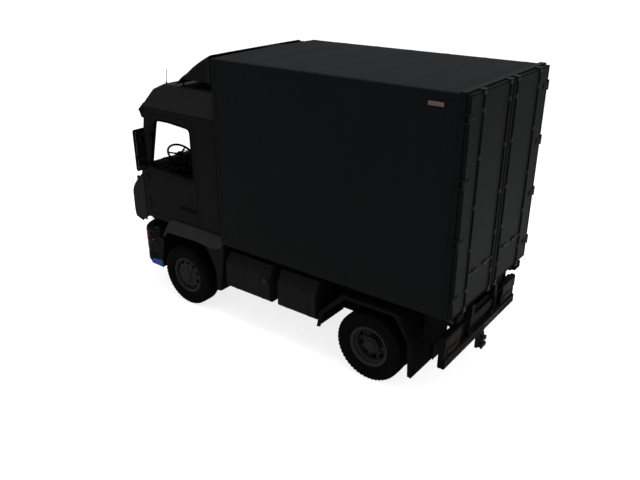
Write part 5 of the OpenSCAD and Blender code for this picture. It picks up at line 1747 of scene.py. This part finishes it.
def soft_form(name, outline, half_width, pressure=4.0, cap=0.022):
    """A cloth-simulated pad: an outline in side view, made solid, remeshed and blown up a little."""
    bm = bmesh.new()
    add_prism(bm, rounded(outline, 0.035, 3, closed=True), -half_width, half_width)
    pad = make_object(bm, name)
    bpy.context.view_layer.objects.active = pad
    remesh = pad.modifiers.new("even", "REMESH")
    remesh.mode = "VOXEL"
    remesh.voxel_size = 0.008
    bpy.ops.object.modifier_apply(modifier="even")
    before = [vert.co.copy() for vert in pad.data.vertices]
    last_frame = 20
    cloth = pad.modifiers.new("foam", "CLOTH")
    cloth.settings.use_pressure = True
    cloth.settings.uniform_pressure_force = pressure
    cloth.settings.effector_weights.gravity = 0
    cloth.settings.quality = 4
    cloth.point_cache.frame_start = 1
    cloth.point_cache.frame_end = last_frame
    for step in range(1, last_frame + 1):
        scene.frame_set(step)
    bpy.ops.object.modifier_apply(modifier="foam")
    scene.frame_set(1)
    for vert, rest in zip(pad.data.vertices, before):
        move = vert.co - rest
        if move.length > cap:
            vert.co = rest + move.normalized() * cap
    return pad


def sew(pad, seams, depth, spread):
    """Pulls the cover in along each seam, a function that gives a point's distance from it."""
    pad.data.update()
    normals = [vert.normal.copy() for vert in pad.data.vertices]
    for vert, normal in zip(pad.data.vertices, normals):
        pull = sum(exp(-(seam(vert.co) / spread) ** 2) for seam in seams)
        vert.co = vert.co - normal * depth * min(1.0, pull)


cushion_line = moved(seat_rear, ((-0.85, 1.93), (-0.845, 2.012), (-0.345, 1.998), (-0.345, 1.93)))
back_line = moved(seat_rear, ((-0.325, 1.96), (-0.3, 2.06), (-0.155, 2.73), (-0.085, 2.735), (-0.16, 2.3),
    (-0.215, 1.96)))
cushion = soft_form("driver_cushion", cushion_line, 0.205)
sew(cushion, [lambda p: abs(p.x) - 0.135, lambda p: p.y - seat_rear + 0.62, lambda p: p.z - 1.965], 0.009, 0.011)
backrest = soft_form("driver_backrest", back_line, 0.205)
sew(backrest, [lambda p: abs(p.x) - 0.13, lambda p: p.z - 2.52, lambda p: p.z - 2.3, lambda p: p.z - 2.12], 0.009,
    0.011)
for first, other, stands_for in ((cushion, "passenger_cushion", ("seats",)), (backrest, "passenger_backrest", ())):
    twin = bpy.data.objects.new(other, first.data.copy())
    scene.collection.objects.link(twin)
    for pad, x in ((first, seat_places[1]), (twin, seat_places[0])):
        pad.data.transform(Matrix.Translation((x, 0, 0)))
        pad.data.materials.clear()
        pad.data.materials.append(seat_cloth)
        pad.data.shade_smooth()
        smoother = pad.modifiers.new("fine", "SUBSURF")
        smoother.levels = smoother.render_levels = 1
        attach(pad, "cab")
    if stands_for:
        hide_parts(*stands_for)
bm = bmesh.new()
for x in seat_places:
    add_block(bm, (x - 0.205, seat_rear - 0.84, 1.885), (x + 0.205, seat_rear - 0.33, 1.932))
    for k in range(6):
        z = 1.56 + k * 0.054
        add_hull(bm, [(x + dx * 0.165, seat_rear - 0.585 + dy * 0.225, z + dz) for dx in (-1, 1) for dy in (-1, 1)
            for dz in (0.01, 0.034)] + [(x + dx * 0.18, seat_rear - 0.585 + dy * 0.24, z + 0.022) for dx in (-1, 1)
            for dy in (-1, 1)])
    add_block(bm, (x - 0.15, seat_rear - 0.8, 1.56), (x + 0.15, seat_rear - 0.37, 1.89))
    add_block(bm, (x - 0.19, seat_rear - 0.82, cab_floor_z + 0.001), (x + 0.19, seat_rear - 0.36, 1.565))
    add_prism(bm, ((seat_rear - 0.232, 1.9), (seat_rear - 0.205, 1.9), (seat_rear - 0.075, 2.7),
        (seat_rear - 0.1, 2.7)), x - 0.17, x + 0.17)
finish_piece(bm, "seat_bases", cab_plastic, 0.005, body="cab")
